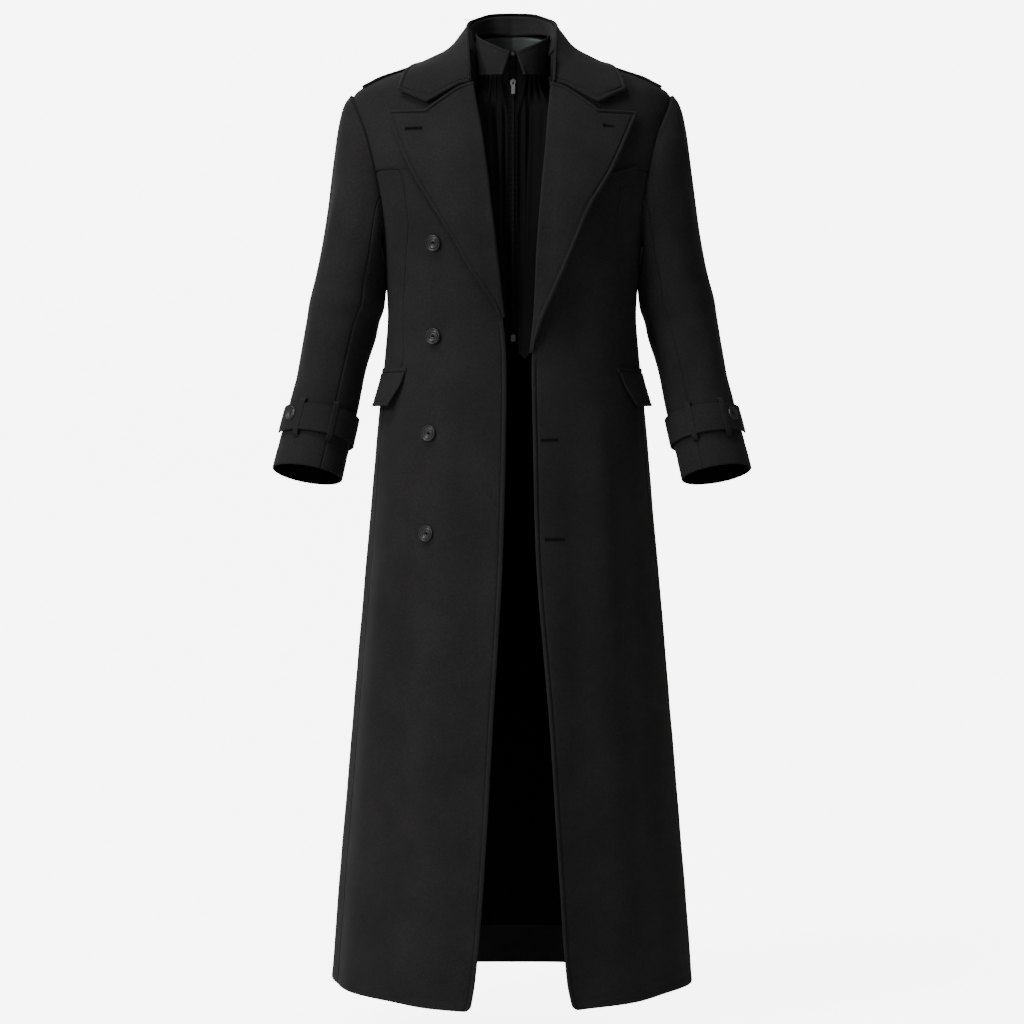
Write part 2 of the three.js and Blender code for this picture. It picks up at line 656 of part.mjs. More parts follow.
// Hip pockets: a jetted welt, and a flap below it that stands away from the side
const POCKET = {
  weltTop: -467.5, weltFoot: -474, weltX: 149, flapTop: -474.6, flapFoot: -523, backAngle: 128, wall: 1.8,
};
const FLAP_FRONT = [
  { z: -523, x: 168 },
  { z: -508, x: 161 },
  { z: -490, x: 154 },
  { z: -474, x: 150.5 },
];
const FLAP_LIFT = [
  { z: -523, out: 12 },
  { z: -500, out: 7.5 },
  { z: -485, out: 4.2 },
  { z: -474, out: 2.6 },
];
function makePocket(side) {
  const laid = (z, x, s, height) => {
    const angle = lerp(frontAngle(x, z), POCKET.backAngle, s);
    return bodyPoint(angle, z).addScaledVector(bodyNormal(angle, z), height);
  };
  const strip = (rows, cols, place, thickness) => {
    const outer = makeGrid(rows, cols, (r, s) => place(r, s, 0));
    const inner = makeGrid(rows, cols, (r, s) => place(r, s, -thickness));
    return wall(mirrored(outer, side.sign), mirrored(inner, side.sign));
  };
  const height = CLEAR + POCKET.wall;
  const welt = (r, s, over) => laid(lerp(POCKET.weltFoot, POCKET.weltTop, r), POCKET.weltX, s, height + over);
  addPiece(`pocket_welt_${side.name}`, strip(1, 14, welt, POCKET.wall), MATERIALS.wool);
  const flap = (r, s, over) => {
    const z = lerp(POCKET.flapFoot, POCKET.flapTop, r);
    const lift = curve(FLAP_LIFT, 'z', 'out', z);
    return laid(z, curve(FLAP_FRONT, 'z', 'x', z), s, CLEAR + lift + over);
  };
  addPiece(`pocket_flap_${side.name}`, strip(4, 12, flap, POCKET.wall), MATERIALS.wool);
}

// Chest pocket: a slanted welt on the wearer's left, partly under the lapel
const CHEST = { from: 98, to: 178, top: -180, rise: 0.33, height: 26, wall: 1.2, over: 0.5 };
function makeChestWelt() {
  const grid = makeGrid(2, 6, (r, s) => {
    const x = lerp(CHEST.from, CHEST.to, s);
    const top = CHEST.top - CHEST.rise * (CHEST.to - x);
    return onFront(x, lerp(top - CHEST.height, top, r), CHEST.over + CHEST.wall);
  });
  addPiece('chest_welt', sheetWall(grid, CHEST.wall, 1), MATERIALS.wool);
}

// Shoulder straps: from the sleeve seam to under the collar, along the top of the shoulder
const STRAP = { tip: 126, root: 219, half: 21, wall: 2.6, over: 0.55, taper: 8, point: 14, pointHalf: 4 };
const STRAP_RISE = { inset: 0.96, tip: -25, root: -66 };
function makeShoulderStrap(side) {
  const grid = makeGrid(8, 4, (r, s) => {
    const x = lerp(STRAP.tip, STRAP.root, r);
    const narrow = clamp01((STRAP.tip + STRAP.point - x) / STRAP.point);
    const half = lerp(STRAP.half - STRAP.taper * (1 - r), STRAP.pointHalf, narrow * narrow);
    const y = (s * 2 - 1) * half;
    const guess = V(x * STRAP_RISE.inset, y, lerp(STRAP_RISE.tip, STRAP_RISE.root, r));
    return laidOn(guess, STRAP.over + STRAP.wall);
  });
  const strap = sheetWall(mirrored(grid, side.sign), STRAP.wall, -side.sign);
  addPiece(`shoulder_strap_${side.name}`, strap, MATERIALS.wool);
}

// Cuff straps: round the sleeve from the back to a tip on the outside, through two keeper loops
const CUFF = {
  top: 0.705, foot: 0.855, tip: 8, end: 236, wall: 2.4, clear: 0.7, keepers: [68, 122], keeperSpan: 9, button: 44,
};
const KEEPER = { wall: 1.4, over: 0.5, past: 0.014 };
const sleeveAt = (v, t, height) => sleevePoint(v, t).addScaledVector(sleeveNormal(v, t), height);
function makeCuff(side) {
  const height = CUFF.clear + CUFF.wall;
  const band = (over) => makeGrid(2, 20, (r, s) => {
    const tipCut = s === 0 ? (r - 0.5) * 0.5 : 0;
    const t = lerp(CUFF.tip, CUFF.end, s);
    return sleeveAt(lerp(CUFF.foot, CUFF.top, r - tipCut), t, height + over);
  });
  const strap = wall(mirrored(band(0), side.sign), mirrored(band(-CUFF.wall), side.sign));
  addPiece(`cuff_strap_${side.name}`, strap, MATERIALS.wool);
  CUFF.keepers.forEach((t0, index) => {
    const top = height + KEEPER.over + KEEPER.wall;
    const profile = [
      { v: CUFF.foot + 2 * KEEPER.past, h: CLEAR + KEEPER.wall },
      { v: CUFF.foot + KEEPER.past, h: top - 0.6 },
      { v: CUFF.foot - KEEPER.past, h: top },
      { v: CUFF.top + KEEPER.past, h: top },
      { v: CUFF.top - KEEPER.past, h: top - 0.6 },
      { v: CUFF.top - 2 * KEEPER.past, h: CLEAR + KEEPER.wall },
    ];
    const loop = (over) => profile.map((row) => [0, 0.5, 1].map((s) => (
      sleeveAt(row.v, t0 + CUFF.keeperSpan * (s - 0.5), row.h + over))));
    const geometry = wall(mirrored(loop(0), side.sign), mirrored(loop(-KEEPER.wall), side.sign));
    addPiece(`keeper_${side.name}_${index + 1}`, geometry, MATERIALS.wool);
  });
}

// Buttons: a turned disc with a raised rim and a dished middle, seated just over the cloth
const FRONT_BUTTONS = [
  { x: -110, z: -293 },
  { x: -110.5, z: -424 },
  { x: -116, z: -561 },
  { x: -119, z: -701 },
];
const FRONT_BUTTON = { radius: 12.5, height: 4.2, seat: 0.72 };
const CUFF_BUTTON = { radius: 10, height: 3.6, seat: 0.65 };
const BUTTON_SIDES = 18;
function buttonGeometry(size) {
  const { radius: r, height: h } = size;
  const profile = [
    [0, 0], [r * 0.82, 0], [r, h * 0.45], [r * 0.97, h * 0.85], [r * 0.86, h], [r * 0.72, h * 0.72],
    [r * 0.3, h * 0.55], [0, h * 0.5],
  ].map(([x, y]) => new THREE.Vector2(x, y));
  return new THREE.LatheGeometry(profile, BUTTON_SIDES);
}

function makeButton(name, size, point, normal) {
  const mesh = addPiece(name, buttonGeometry(size), MATERIALS.horn);
  mesh.position.copy(point);
  mesh.quaternion.setFromUnitVectors(V(0, 1, 0), normal);
}

function makeButtons() {
  FRONT_BUTTONS.forEach((place, i) => {
    const normal = slopeOf(onFront(place.x, place.z, 0)).normalize();
    makeButton(`front_button_${i + 1}`, FRONT_BUTTON, onFront(place.x, place.z, FRONT_BUTTON.seat), normal);
  });
  SIDES.forEach((side) => {
    const v = lerp(CUFF.foot, CUFF.top, 0.6);
    const p = sleeveAt(v, CUFF.button, CUFF.clear + CUFF.wall + CUFF_BUTTON.seat);
    const n = sleeveNormal(v, CUFF.button);
    makeButton(`cuff_button_${side.name}`, CUFF_BUTTON, sideways(p, side.sign), sideways(n, side.sign));
  });
}

// Inner bib: a stand collar in two halves, gathered panels hung from it and from the fronts, and a zip
const BIB = { middle: 1.5, collarWall: 2, panelWall: 1.2, tapeHalf: 6.5, tapeGap: 0.9, zipTop: -14, zipFoot: -436 };
const BIB_COLLAR = {
  centreY: -12, rx: 54, ry: 58, from: 4, to: 84, topFront: -12, topBack: 4, foot: -50, rise: 4, lean: 11,
};
const BIB_TOP = -50.25;
const BIB_TOP_RISE = 3.25;
const TAPE_SETBACK = 3;
const BIB_ROWS = [0, 0.04, 0.1, 0.18, 0.28, 0.4, 0.52, 0.64, 0.76, 0.88, 1];
const BIB_FOOT = {
  right: [{ s: 0, z: -425 }, { s: 1, z: -420 }],
  left: [{ s: 0, z: -446 }, { s: 0.25, z: -455 }, { s: 1, z: -415 }],
};
const GATHER = { depth: 2.2, folds: 5, sink: 14, sinksOver: 30, under: 24, neckDrop: 55, neckReach: 52, parted: 9 };
const BIB_COLS = 14;

function makeBibCollar(side) {
  const grid = makeGrid(4, 10, (r, s) => {
    const lean = BIB_COLLAR.lean * (1 - r) * (1 - smooth(clamp01(s * 4)));
    const b = lerp(BIB_COLLAR.from, BIB_COLLAR.to, s) * DEG;
    const x = BIB_COLLAR.rx * Math.sin(b) + lean;
    const y = BIB_COLLAR.centreY - BIB_COLLAR.ry * Math.cos(b);
    const top = lerp(BIB_COLLAR.topFront, BIB_COLLAR.topBack, s);
    return V(x + side.sign * BIB.middle, y, lerp(BIB_COLLAR.foot + BIB_COLLAR.rise * s, top, r));
  });
  const half = sheetWall(mirrored(grid, side.sign), BIB.collarWall, side.sign);
  addPiece(`bib_collar_${side.name}`, half, MATERIALS.wool);
}

function footOf(side, s) {
  const rows = BIB_FOOT[side.name];
  return curve(rows, 's', 'z', s);
}

// The line on which the bib collar stands, as a depth for each place across the neck
const bibLine = (x) => BIB_COLLAR.centreY
  - BIB_COLLAR.ry * Math.sqrt(Math.max(0, 1 - Math.min(1, Math.abs(x) / BIB_COLLAR.rx) ** 2));

function makeBibPanel(side) {
  const place = (r, s) => {
    const top = BIB_TOP + BIB_TOP_RISE * s;
    const z = lerp(top, footOf(side, s), BIB_ROWS[Math.round(r * (BIB_ROWS.length - 1))]);
    const opening = Math.abs(curve(OPENING, 'z', side.name, z));
    const neck = smooth(clamp01(1 - (BIB_TOP - z) / GATHER.neckDrop));
    const near = BIB.middle * side.sign + BIB.tapeHalf + GATHER.parted * neck + BIB.tapeGap;
    const x = lerp(near, lerp(opening + GATHER.under, GATHER.neckReach, neck), s);
    const free = clamp01((opening - x) / GATHER.sinksOver);
    const fading = lerp(1, 0.35, r) * free * (1 - neck);
    const wave = Math.sin(s * GATHER.folds * 2 * Math.PI) * GATHER.depth * fading;
    const sink = WOOL + BIB.panelWall + GATHER.sink * smooth(free) + wave + GATHER.depth * free;
    const p = onFront(x, z, -sink);
    return p.lerp(V(x, bibLine(x - side.sign * BIB.middle) + 0.2, z), neck);
  };
  const grid = makeGrid(BIB_ROWS.length - 1, BIB_COLS, place);
  const panel = sheetWall(mirrored(grid, side.sign), BIB.panelWall, -side.sign);
  addPiece(`bib_panel_${side.name}`, panel, MATERIALS.satin);
}

const zipDepth = (z) => {
  const neck = clamp01(1 - (BIB_TOP - z) / 60);
  return onFront(BIB.middle, Math.min(z, BIB_TOP), -(WOOL + BIB.panelWall + GATHER.sink + GATHER.depth) - 4 * neck).y;
};

function makeZipTape(side) {
  const zs = [BIB.zipTop, -30, BIB_TOP, -62, -76, -105, -150, -200, -260, -320, -380, -424, BIB.zipFoot];
  const outer = zs.map((z) => [0, 1].map((s) => {
    const x = side.sign * lerp(0.2, BIB.tapeHalf, s) + BIB.middle;
    return V(x, zipDepth(z) + (z > BIB_TOP ? TAPE_SETBACK : 0), z);
  }));
  const inner = outer.map((line) => line.map((p) => V(p.x, p.y + LINING, p.z)));
  addPiece(`zip_tape_${side.name}`, wall(outer, inner), MATERIALS.tape);
}

// Zip slider with its bridge, the pull that swings on the bridge, and the box at the foot
const SLIDER = { z: -62, width: 9, depth: 3, height: 10, gap: 0.7 };
const ZIP_BOX = { z: -427, width: 7, depth: 2.4, height: 9 };
const HOOK = { z: -18, width: 5, depth: 1.2, height: 4 };
const BRIDGE = { width: 1.6, height: 8, rise: 4.4, bar: 1.2 };
const PULL = { width: 5.4, length: 22, wall: 1.2, holeWidth: 2.6, holeTop: 0.75, holeLength: 5.6 };
function rectangle(x0, y0, x1, y1) {
  return [[x0, y0], [x1, y0], [x1, y1], [x0, y1]].map(([x, y]) => new THREE.Vector2(x, y));
}

// The slider lies along the slope of the chest, so its metal is built in a frame that leans with the tape
function slopeFrame(z, reach) {
  const lean = Math.atan2(zipDepth(z + reach) - zipDepth(z - reach), 2 * reach);
  const frame = new THREE.Group();
  frame.position.set(BIB.middle, zipDepth(z), z);
  frame.rotation.x = -lean;
  coat.add(frame);
  return frame;
}

function makeZipMetal() {
  const frame = slopeFrame(SLIDER.z, 8);
  const plate = new THREE.BoxGeometry(SLIDER.width, SLIDER.depth, SLIDER.height);
  const slider = addPiece('zip_slider', plate, MATERIALS.metal, frame);
  slider.position.y = -SLIDER.gap - SLIDER.depth / 2;

  const faceY = -SLIDER.gap - SLIDER.depth - SEAM;
  const foot = BRIDGE.bar * 0.6;
  const arch = new THREE.Shape(rectangle(0, -BRIDGE.height / 2, BRIDGE.rise, BRIDGE.height / 2));
  arch.holes.push(new THREE.Path(rectangle(foot, -BRIDGE.height / 2 + BRIDGE.bar,
    BRIDGE.rise - BRIDGE.bar, BRIDGE.height / 2 - BRIDGE.bar)));
  const bridge = addPiece('zip_bridge',
    new THREE.ExtrudeGeometry(arch, { depth: BRIDGE.width, bevelEnabled: false }), MATERIALS.metal, frame);
  bridge.setRotationFromMatrix(new THREE.Matrix4().makeBasis(V(0, -1, 0), V(0, 0, 1), V(-1, 0, 0)));
  bridge.position.set(BRIDGE.width / 2, faceY, 0);

  const hingeY = faceY - (foot + BRIDGE.rise - BRIDGE.bar) / 2;
  const outline = new THREE.Shape(rectangle(-PULL.width / 2, -PULL.length, PULL.width / 2, PULL.holeTop));
  outline.holes.push(new THREE.Path(rectangle(-PULL.holeWidth / 2, -PULL.holeLength, PULL.holeWidth / 2, -0.55)));
  const pull = addPiece('zip_pull',
    new THREE.ExtrudeGeometry(outline, { depth: PULL.wall, bevelEnabled: false }), MATERIALS.metal, frame);
  pull.rotation.x = Math.PI / 2;
  pull.position.y = hingeY + PULL.wall / 2;

  const end = slopeFrame(ZIP_BOX.z, 6);
  const box = addPiece('zip_box', new THREE.BoxGeometry(ZIP_BOX.width, ZIP_BOX.depth, ZIP_BOX.height),
    MATERIALS.metal, end);
  box.position.y = -SLIDER.gap - ZIP_BOX.depth / 2;
  const hook = addPiece('collar_hook', new THREE.BoxGeometry(HOOK.width, HOOK.depth, HOOK.height), MATERIALS.metal);
  hook.position.set(BIB.middle, zipDepth(BIB_TOP) + TAPE_SETBACK - SLIDER.gap - HOOK.depth / 2, HOOK.z);
}

makeCollar();
makeChestWelt();
makeButtons();
makeZipMetal();
SIDES.forEach((side) => {
  makeLapel(side);
  makeSleeve(side);
  makePocket(side);
  makeShoulderStrap(side);
  makeCuff(side);
  makeBibCollar(side);
  makeBibPanel(side);
  makeZipTape(side);
});

export default coat;
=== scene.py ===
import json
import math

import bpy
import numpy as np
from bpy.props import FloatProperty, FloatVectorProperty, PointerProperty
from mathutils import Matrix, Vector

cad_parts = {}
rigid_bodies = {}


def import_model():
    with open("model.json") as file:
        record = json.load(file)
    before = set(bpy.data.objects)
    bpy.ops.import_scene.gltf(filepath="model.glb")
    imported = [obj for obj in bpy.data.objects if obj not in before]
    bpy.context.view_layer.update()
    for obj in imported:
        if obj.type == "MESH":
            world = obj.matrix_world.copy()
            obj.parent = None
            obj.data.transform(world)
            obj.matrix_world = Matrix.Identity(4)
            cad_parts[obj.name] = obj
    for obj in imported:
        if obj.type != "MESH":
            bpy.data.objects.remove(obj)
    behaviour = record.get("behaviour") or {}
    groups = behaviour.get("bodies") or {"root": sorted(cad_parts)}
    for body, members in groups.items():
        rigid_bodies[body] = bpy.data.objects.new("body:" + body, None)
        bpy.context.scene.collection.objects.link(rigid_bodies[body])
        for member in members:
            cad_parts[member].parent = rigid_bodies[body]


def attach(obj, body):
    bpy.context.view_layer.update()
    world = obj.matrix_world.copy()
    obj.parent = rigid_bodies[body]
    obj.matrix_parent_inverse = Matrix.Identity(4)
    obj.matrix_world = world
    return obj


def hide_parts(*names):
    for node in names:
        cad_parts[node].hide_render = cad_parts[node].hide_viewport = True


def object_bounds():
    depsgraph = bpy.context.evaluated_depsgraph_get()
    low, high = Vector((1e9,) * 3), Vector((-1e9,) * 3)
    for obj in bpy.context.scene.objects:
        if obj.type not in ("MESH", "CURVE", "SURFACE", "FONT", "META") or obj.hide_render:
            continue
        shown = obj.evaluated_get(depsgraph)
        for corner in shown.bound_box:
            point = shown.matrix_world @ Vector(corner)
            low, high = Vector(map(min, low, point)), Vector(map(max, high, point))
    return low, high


bl_info = {
    "name": "Long Overcoat",
    "version": (1, 0, 0),
    "blender": (4, 5, 0),
    "location": "View3D > Sidebar > Overcoat",
    "description": "Builds a long double-breasted wool overcoat piece by piece around its fixed frame",
    "category": "Add Mesh",
}

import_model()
CAD_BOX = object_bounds()

MM = 0.001
BODY = "coat"
SIDES = {"right": -1, "left": 1}

# Driving sizes of the coat in millimetres, the same as its solids have
WOOL = 2.5
LINING = 1.0
SEAM = 0.3
CLEAR = 0.4
HEM_Z = -1351.0
SHOULDER_Z = -72.0
NECK_Z = -2.0
NAPE_Z = 26.0
ARMHOLE = {"mid_z": -181.0, "half": 109.0, "front": 28.0, "back": 27.0}

# Body rings: height, half width, front and back depth, squareness of the front and back halves
RING_KEYS = ("z", "w", "f", "b", "nf", "nb")
RINGS = [
    (-1351, 261, 235, 112, 1.72, 2.5),
    (-1223, 251.6, 222, 113, 1.74, 2.45),
    (-1049, 237, 206, 113, 1.78, 2.4),
    (-875, 222.6, 188, 113, 1.84, 2.35),
    (-672, 205, 163, 112, 1.92, 2.3),
    (-556, 195, 147, 108, 2.0, 2.3),
    (-440, 183.4, 133, 98, 2.05, 2.3),
    (-382, 180.5, 131, 97, 2.1, 2.3),
    (-304, 186, 138, 108, 2.15, 2.35),
    (-258, 194, 139, 114, 2.2, 2.4),
    (-188, 217, 128, 119, 2.2, 2.4),
    (-135, 227, 111, 117, 2.2, 2.35),
    (-72, 229, 85, 104, 2.1, 2.2),
    (-50, 195.5, 74, 98, 2.0, 2.1),
    (-38, 160, 68, 94, 2.0, 2.08),
    (-25, 121, 60, 89, 2.0, 2.05),
    (-2, 79, 46, 79, 2.0, 2.0),
    (26, 57, 36, 72, 2.0, 2.0),
]

# Front edge below the break of the lapel and roll line above it, a column for each side
OPENING_KEYS = ("z", "right", "left")
OPENING = [
    (-1351, -58, 84),
    (-1310, -51, 75),
    (-1175, -39, 65),
    (-960, -26, 51),
    (-745, -13, 34),
    (-556, -8, 29),
    (-450, -8, 28),
    (-397, -13, 33),
    (-353, -18, 35),
    (-256, -29.5, 41),
    (-156, -42, 50),
    (-58, -58, 58),
    (-2, -62, 62),
]

# Seam between front and side panel: its distance from the middle at each height
SIDE_SEAM_KEYS = ("z", "x")
SIDE_SEAM = [
    (-1351, 253),
    (-960, 222),
    (-640, 194),
    (-520, 184),
    (-495, 180),
    (-464, 156),
    (-397, 155),
    (-303, 150),
    (-266, 147),
    (-230, 151),
    (-200, 155),
    (-187, 162),
]
SEAM_TOP_Z = -187.0
ARM_SEAM_Z = -186.4
BACK_SEAM = {"hem": 112.0, "armhole": 117.0}

# Soft folds of the body cloth, by their angle round the ring: top and foot height, width and drift in degrees
FOLD_DEPTH = 1.3
FOLD_KEYS = ("side", "angle", "top", "foot", "width", "rise", "drift")
FOLDS = [
    (-1, 13, -620, -1351, 4.5, -1.8, 1.5),
    (-1, 27, -470, -1351, 6.0, 3.0, 2),
    (-1, 42, -560, -1351, 5.5, -2.6, 3),
    (-1, 60, -640, -1351, 6.0, 2.6, 2),
    (-1, 78, -600, -1351, 6.0, -2.2, 0),
    (-1, 102, -560, -1351, 7.0, 2.8, 0),
    (-1, 128, -500, -1351, 7.0, -2.6, -2),
    (-1, 154, -520, -1351, 7.0, 2.4, 0),
    (1, 15, -700, -1351, 4.5, 1.8, 1),
    (1, 26, -500, -1351, 5.5, -2.4, 2),
    (1, 40, -470, -1351, 6.0, 3.2, 3),
    (1, 57, -620, -1351, 6.0, -2.6, 2),
    (1, 76, -600, -1351, 6.0, 2.4, 0),
    (1, 98, -560, -1351, 7.0, -2.6, 0),
    (1, 124, -520, -1351, 7.0, 2.6, -2),
    (1, 150, -500, -1351, 7.0, -2.4, 0),
    (-1, 33, -250, -480, 6.0, -1.6, -3),
    (1, 32, -232, -490, 7.5, -3.4, -3),
    (-1, 57, -330, -530, 5.0, 1.4, 2),
    (1, 56, -330, -530, 5.0, 1.4, 2),
]


def rows_of(keys, rows):
    """A table as a dict of number columns."""
    return {key: np.array([row[i] for row in rows], float) for i, key in enumerate(keys)}


RING_TABLE = rows_of(RING_KEYS, RINGS)
OPENING_TABLE = rows_of(OPENING_KEYS, OPENING)
SIDE_SEAM_TABLE = rows_of(SIDE_SEAM_KEYS, SIDE_SEAM)


def lerp(a, b, t):
    return a + (b - a) * t


def clamp01(t):
    return np.clip(t, 0.0, 1.0)


def smooth(t):
    t = clamp01(t)
    return t * t * (3 - 2 * t)


def bell(d, width):
    """A soft bump, 1 at the middle and near 0 past twice the width."""
    return np.exp(-((d / width) ** 2))


def column(table, key, name, at):
    """A smooth curve through one column of a table, against its key column."""
    xs, ys = table[key], table[name]
    if xs[0] > xs[-1]:
        xs, ys = xs[::-1], ys[::-1]
    at = np.clip(np.asarray(at, float), xs[0], xs[-1])
    last = len(xs) - 1
    slope = np.empty_like(ys)
    slope[0] = (ys[1] - ys[0]) / (xs[1] - xs[0])
    slope[last] = (ys[last] - ys[last - 1]) / (xs[last] - xs[last - 1])
    slope[1:last] = (ys[2:] - ys[:-2]) / (xs[2:] - xs[:-2])
    i = np.clip(np.searchsorted(xs, at, side="right") - 1, 0, last - 1)
    h = xs[i + 1] - xs[i]
    t = (at - xs[i]) / h
    t2, t3 = t * t, t * t * t
    return ((2 * t3 - 3 * t2 + 1) * ys[i] + (t3 - 2 * t2 + t) * h * slope[i]
            + (3 * t2 - 2 * t3) * ys[i + 1] + (t3 - t2) * h * slope[i + 1])


def unit(v):
    return v / np.maximum(np.linalg.norm(v, axis=-1, keepdims=True), 1e-9)


def stack(x, y, z):
    return np.stack(np.broadcast_arrays(x, y, z), axis=-1).astype(float)


def ring(z):
    return {name: column(RING_TABLE, "z", name, z) for name in RING_KEYS[1:]}


def form_point(angle, z):
    """Plain form of the body: angle 0 is the front middle, 90 the side and 180 the back middle."""
    angle, z = np.broadcast_arrays(np.asarray(angle, float), np.asarray(z, float))
    r = ring(z)
    in_front = angle <= 90
    n = np.where(in_front, r["nf"], r["nb"])
    s = np.abs(np.sin(np.radians(angle))) ** (2 / n)
    c = np.abs(np.cos(np.radians(angle))) ** (2 / n)
    return stack(r["w"] * s, np.where(in_front, -r["f"] * c, r["b"] * c), z)


def form_normal(angle, z):
    angle = np.clip(angle, 1.2, 178.8)
    z = np.clip(z, HEM_Z + 1, NAPE_Z - 1)
    around = form_point(angle + 0.5, z) - form_point(angle - 0.5, z)
    up = form_point(angle, z + 1) - form_point(angle, z - 1)
    return unit(np.cross(around, up))


def front_angle(x, z):
    """The angle on the front half at a distance x from the middle."""
    r = ring(z)
    return np.degrees(np.arcsin(np.minimum(1, np.abs(x) / r["w"]) ** (r["nf"] / 2)))


def level(p):
    """1 on the body's outer form, more outside it."""
    r = ring(p[..., 2])
    in_front = p[..., 1] <= 0
    n = np.where(in_front, r["nf"], r["nb"])
    d = np.where(in_front, r["f"], r["b"])
    return ((np.abs(p[..., 0]) / r["w"]) ** n + (np.abs(p[..., 1]) / d) ** n) ** (1 / n)


def slope_of(p):
    steps = [level(p + 0.5 * axis) - level(p - 0.5 * axis) for axis in np.eye(3)]
    return np.stack(steps, axis=-1)


def height_over(p):
    """How far points lie over the body's outer form."""
    return (level(p) - 1) / np.maximum(np.linalg.norm(slope_of(p), axis=-1), 1e-9)


def laid_on(p, height):
    """Moves points along the slope until they lie at a height over the body's outer form."""
    q = np.array(p, float)
    for _ in range(8):
        q = q + unit(slope_of(q)) * (height - height_over(q))[..., None]
    return q


def folds(angle, z, side):
    """The rise of the soft folds at a place of the body, over its plain form."""
    rise = np.zeros(np.broadcast(angle, z).shape)
    for row in FOLDS:
        fold = dict(zip(FOLD_KEYS, row))
        if fold["side"] != side:
            continue
        down = clamp01((fold["top"] - z) / (fold["top"] - fold["foot"]))
        fade = smooth((fold["top"] - z) / 160)
        if fold["foot"] > HEM_Z:
            fade = fade * smooth((z - fold["foot"]) / 90)
        offset = angle - fold["angle"] - fold["drift"] * down
        rise += FOLD_DEPTH * fold["rise"] * bell(offset, fold["width"] * (1 + 0.3 * down)) * fade
    return rise


def uneven(p, rise=0.25):
    """The slight unevenness of a cloth that lies over a form."""
    x, y, z = p[..., 0], p[..., 1], p[..., 2]
    short = np.sin(x * 0.11 + 1.3 * np.sin(z * 0.031)) * np.sin(z * 0.067 + 0.9 * np.sin(y * 0.045))
    long = np.sin(x * 0.053 - z * 0.041 + 0.7) * np.sin(y * 0.083 + z * 0.019)
    return rise * (0.5 * short + 0.9 * long)


def on_front(x, z, height, side=0):
    """Points on the front at places of the front view, at a height over the cloth; x is the distance outwards."""
    x, z = np.broadcast_arrays(np.asarray(x, float), np.asarray(z, float))
    r = ring(z)
    inside = np.maximum(0.02, 1 - np.minimum(1, np.abs(x) / r["w"]) ** r["nf"])
    p = stack(x, -r["f"] * inside ** (1 / r["nf"]), z)
    rise = height + (folds(front_angle(x, z), z, side) if side else 0)
    return p + unit(slope_of(p)) * np.broadcast_to(rise, x.shape)[..., None]


# Finished edges, stitching and seams, as relief over a plain cloth surface
TURNED = 1.2
TOPSTITCH = 6.6
STITCH_DEPTH = 1.15
SOFT_STITCH = 0.6
EDGE_STEPS = (0, 0.25, 0.6, 1.2, 2.2, 3.4, 4.6, 5.6, 6.1, 6.6, 7.1, 7.9, 9.6, 13.0)
ROW_AT = EDGE_STEPS.index(TOPSTITCH) + 1
SEAM_STEPS = (0, 0.5, 1.1, 2.0, 3.4, 6.0)
HEM_STEPS = (0, 0.3, 0.8, 1.6, 3.0, 5.5, 9.0, 12.8, 14.0, 15.2)
HEM_STITCH = 14.0
HEM_CORNER = 9.0


def turned_edge(d):
    """Roundness of a turned edge, for the distance d from it."""
    inside = np.clip(TURNED - d, 0, TURNED)
    return -(TURNED - np.sqrt(np.maximum(0, TURNED ** 2 - inside ** 2)))


def stitched(d, at=TOPSTITCH, depth=STITCH_DEPTH):
    """A row of topstitching that pulls the cloth in, with the edge puffed up beside it."""
    return -depth * bell(d - at, 1.1) + depth * bell(d - at * 0.5, 2.0)


def seam_dip(d, depth=1.0):
    return -depth * bell(d, 1.4)


def marks_for(total, start, end, count):
    """Distances along a row: fixed steps from each end, and even ones between them."""
    middle = [lerp(start[-1], total - end[-1], (i + 1) / count) for i in range(count - 1)]
    return np.maximum.accumulate(np.clip(np.array(list(start) + middle + [total - d for d in end[::-1]]), 0, total))


def along_row(point, start, end, count, samples=240):
    """Shares of a row at its marks, with their distance from its start and from its end."""
    share = np.linspace(0, 1, samples)
    length = np.concatenate([[0], np.cumsum(np.linalg.norm(np.diff(point(share), axis=0), axis=1))])
    marks = marks_for(length[-1], start, end, count)
    return np.interp(marks, length, share), marks, length[-1] - marks


def steps_between(start, end, step, first=(0,), last=(0,)):
    """Heights from start to end: fine steps at each end and even ones between."""
    total = abs(end - start)
    count = max(2, round((total - first[-1] - last[-1]) / step))
    sign = 1 if end > start else -1
    return start + sign * marks_for(total, first, last, count)


# Meshes
def grid_faces(rows, cols, start=0, close=False):
    faces = []
    for i in range(rows - 1):
        for j in range(cols - 1 if not close else cols):
            a = start + i * cols + j
            b = start + i * cols + (j + 1) % cols
            faces.append((a, b, b + cols, a + cols))
    return faces


def signed_volume(verts, faces):
    """Six times the volume that the faces enclose; below zero, they face inwards."""
    total = 0.0
    for size in {len(face) for face in faces}:
        index = np.array([face for face in faces if len(face) == size])
        for k in range(1, size - 1):
            a, b, c = verts[index[:, 0]], verts[index[:, k]], verts[index[:, k + 1]]
            total += float(np.einsum("ij,ij->", a, np.cross(b, c)))
    return total


def mesh_piece(name, verts_mm, faces, materials, face_slots=None, smooth_faces=True):
    """A finished piece at the origin from points in millimetres, with its faces turned outwards."""
    verts = np.asarray(verts_mm, float)
    if signed_volume(verts, faces) < 0:
        faces = [tuple(reversed(face)) for face in faces]
    mesh = bpy.data.meshes.new(f"{name}_look")
    mesh.from_pydata((verts * MM).tolist(), [], faces)
    for material in materials:
        mesh.materials.append(material)
    if face_slots is not None:
        mesh.polygons.foreach_set("material_index", face_slots)
    mesh.polygons.foreach_set("use_smooth", [smooth_faces] * len(mesh.polygons))
    mesh.update()
    piece = bpy.data.objects.new(f"{name}_look", mesh)
    bpy.context.scene.collection.objects.link(piece)
    return piece


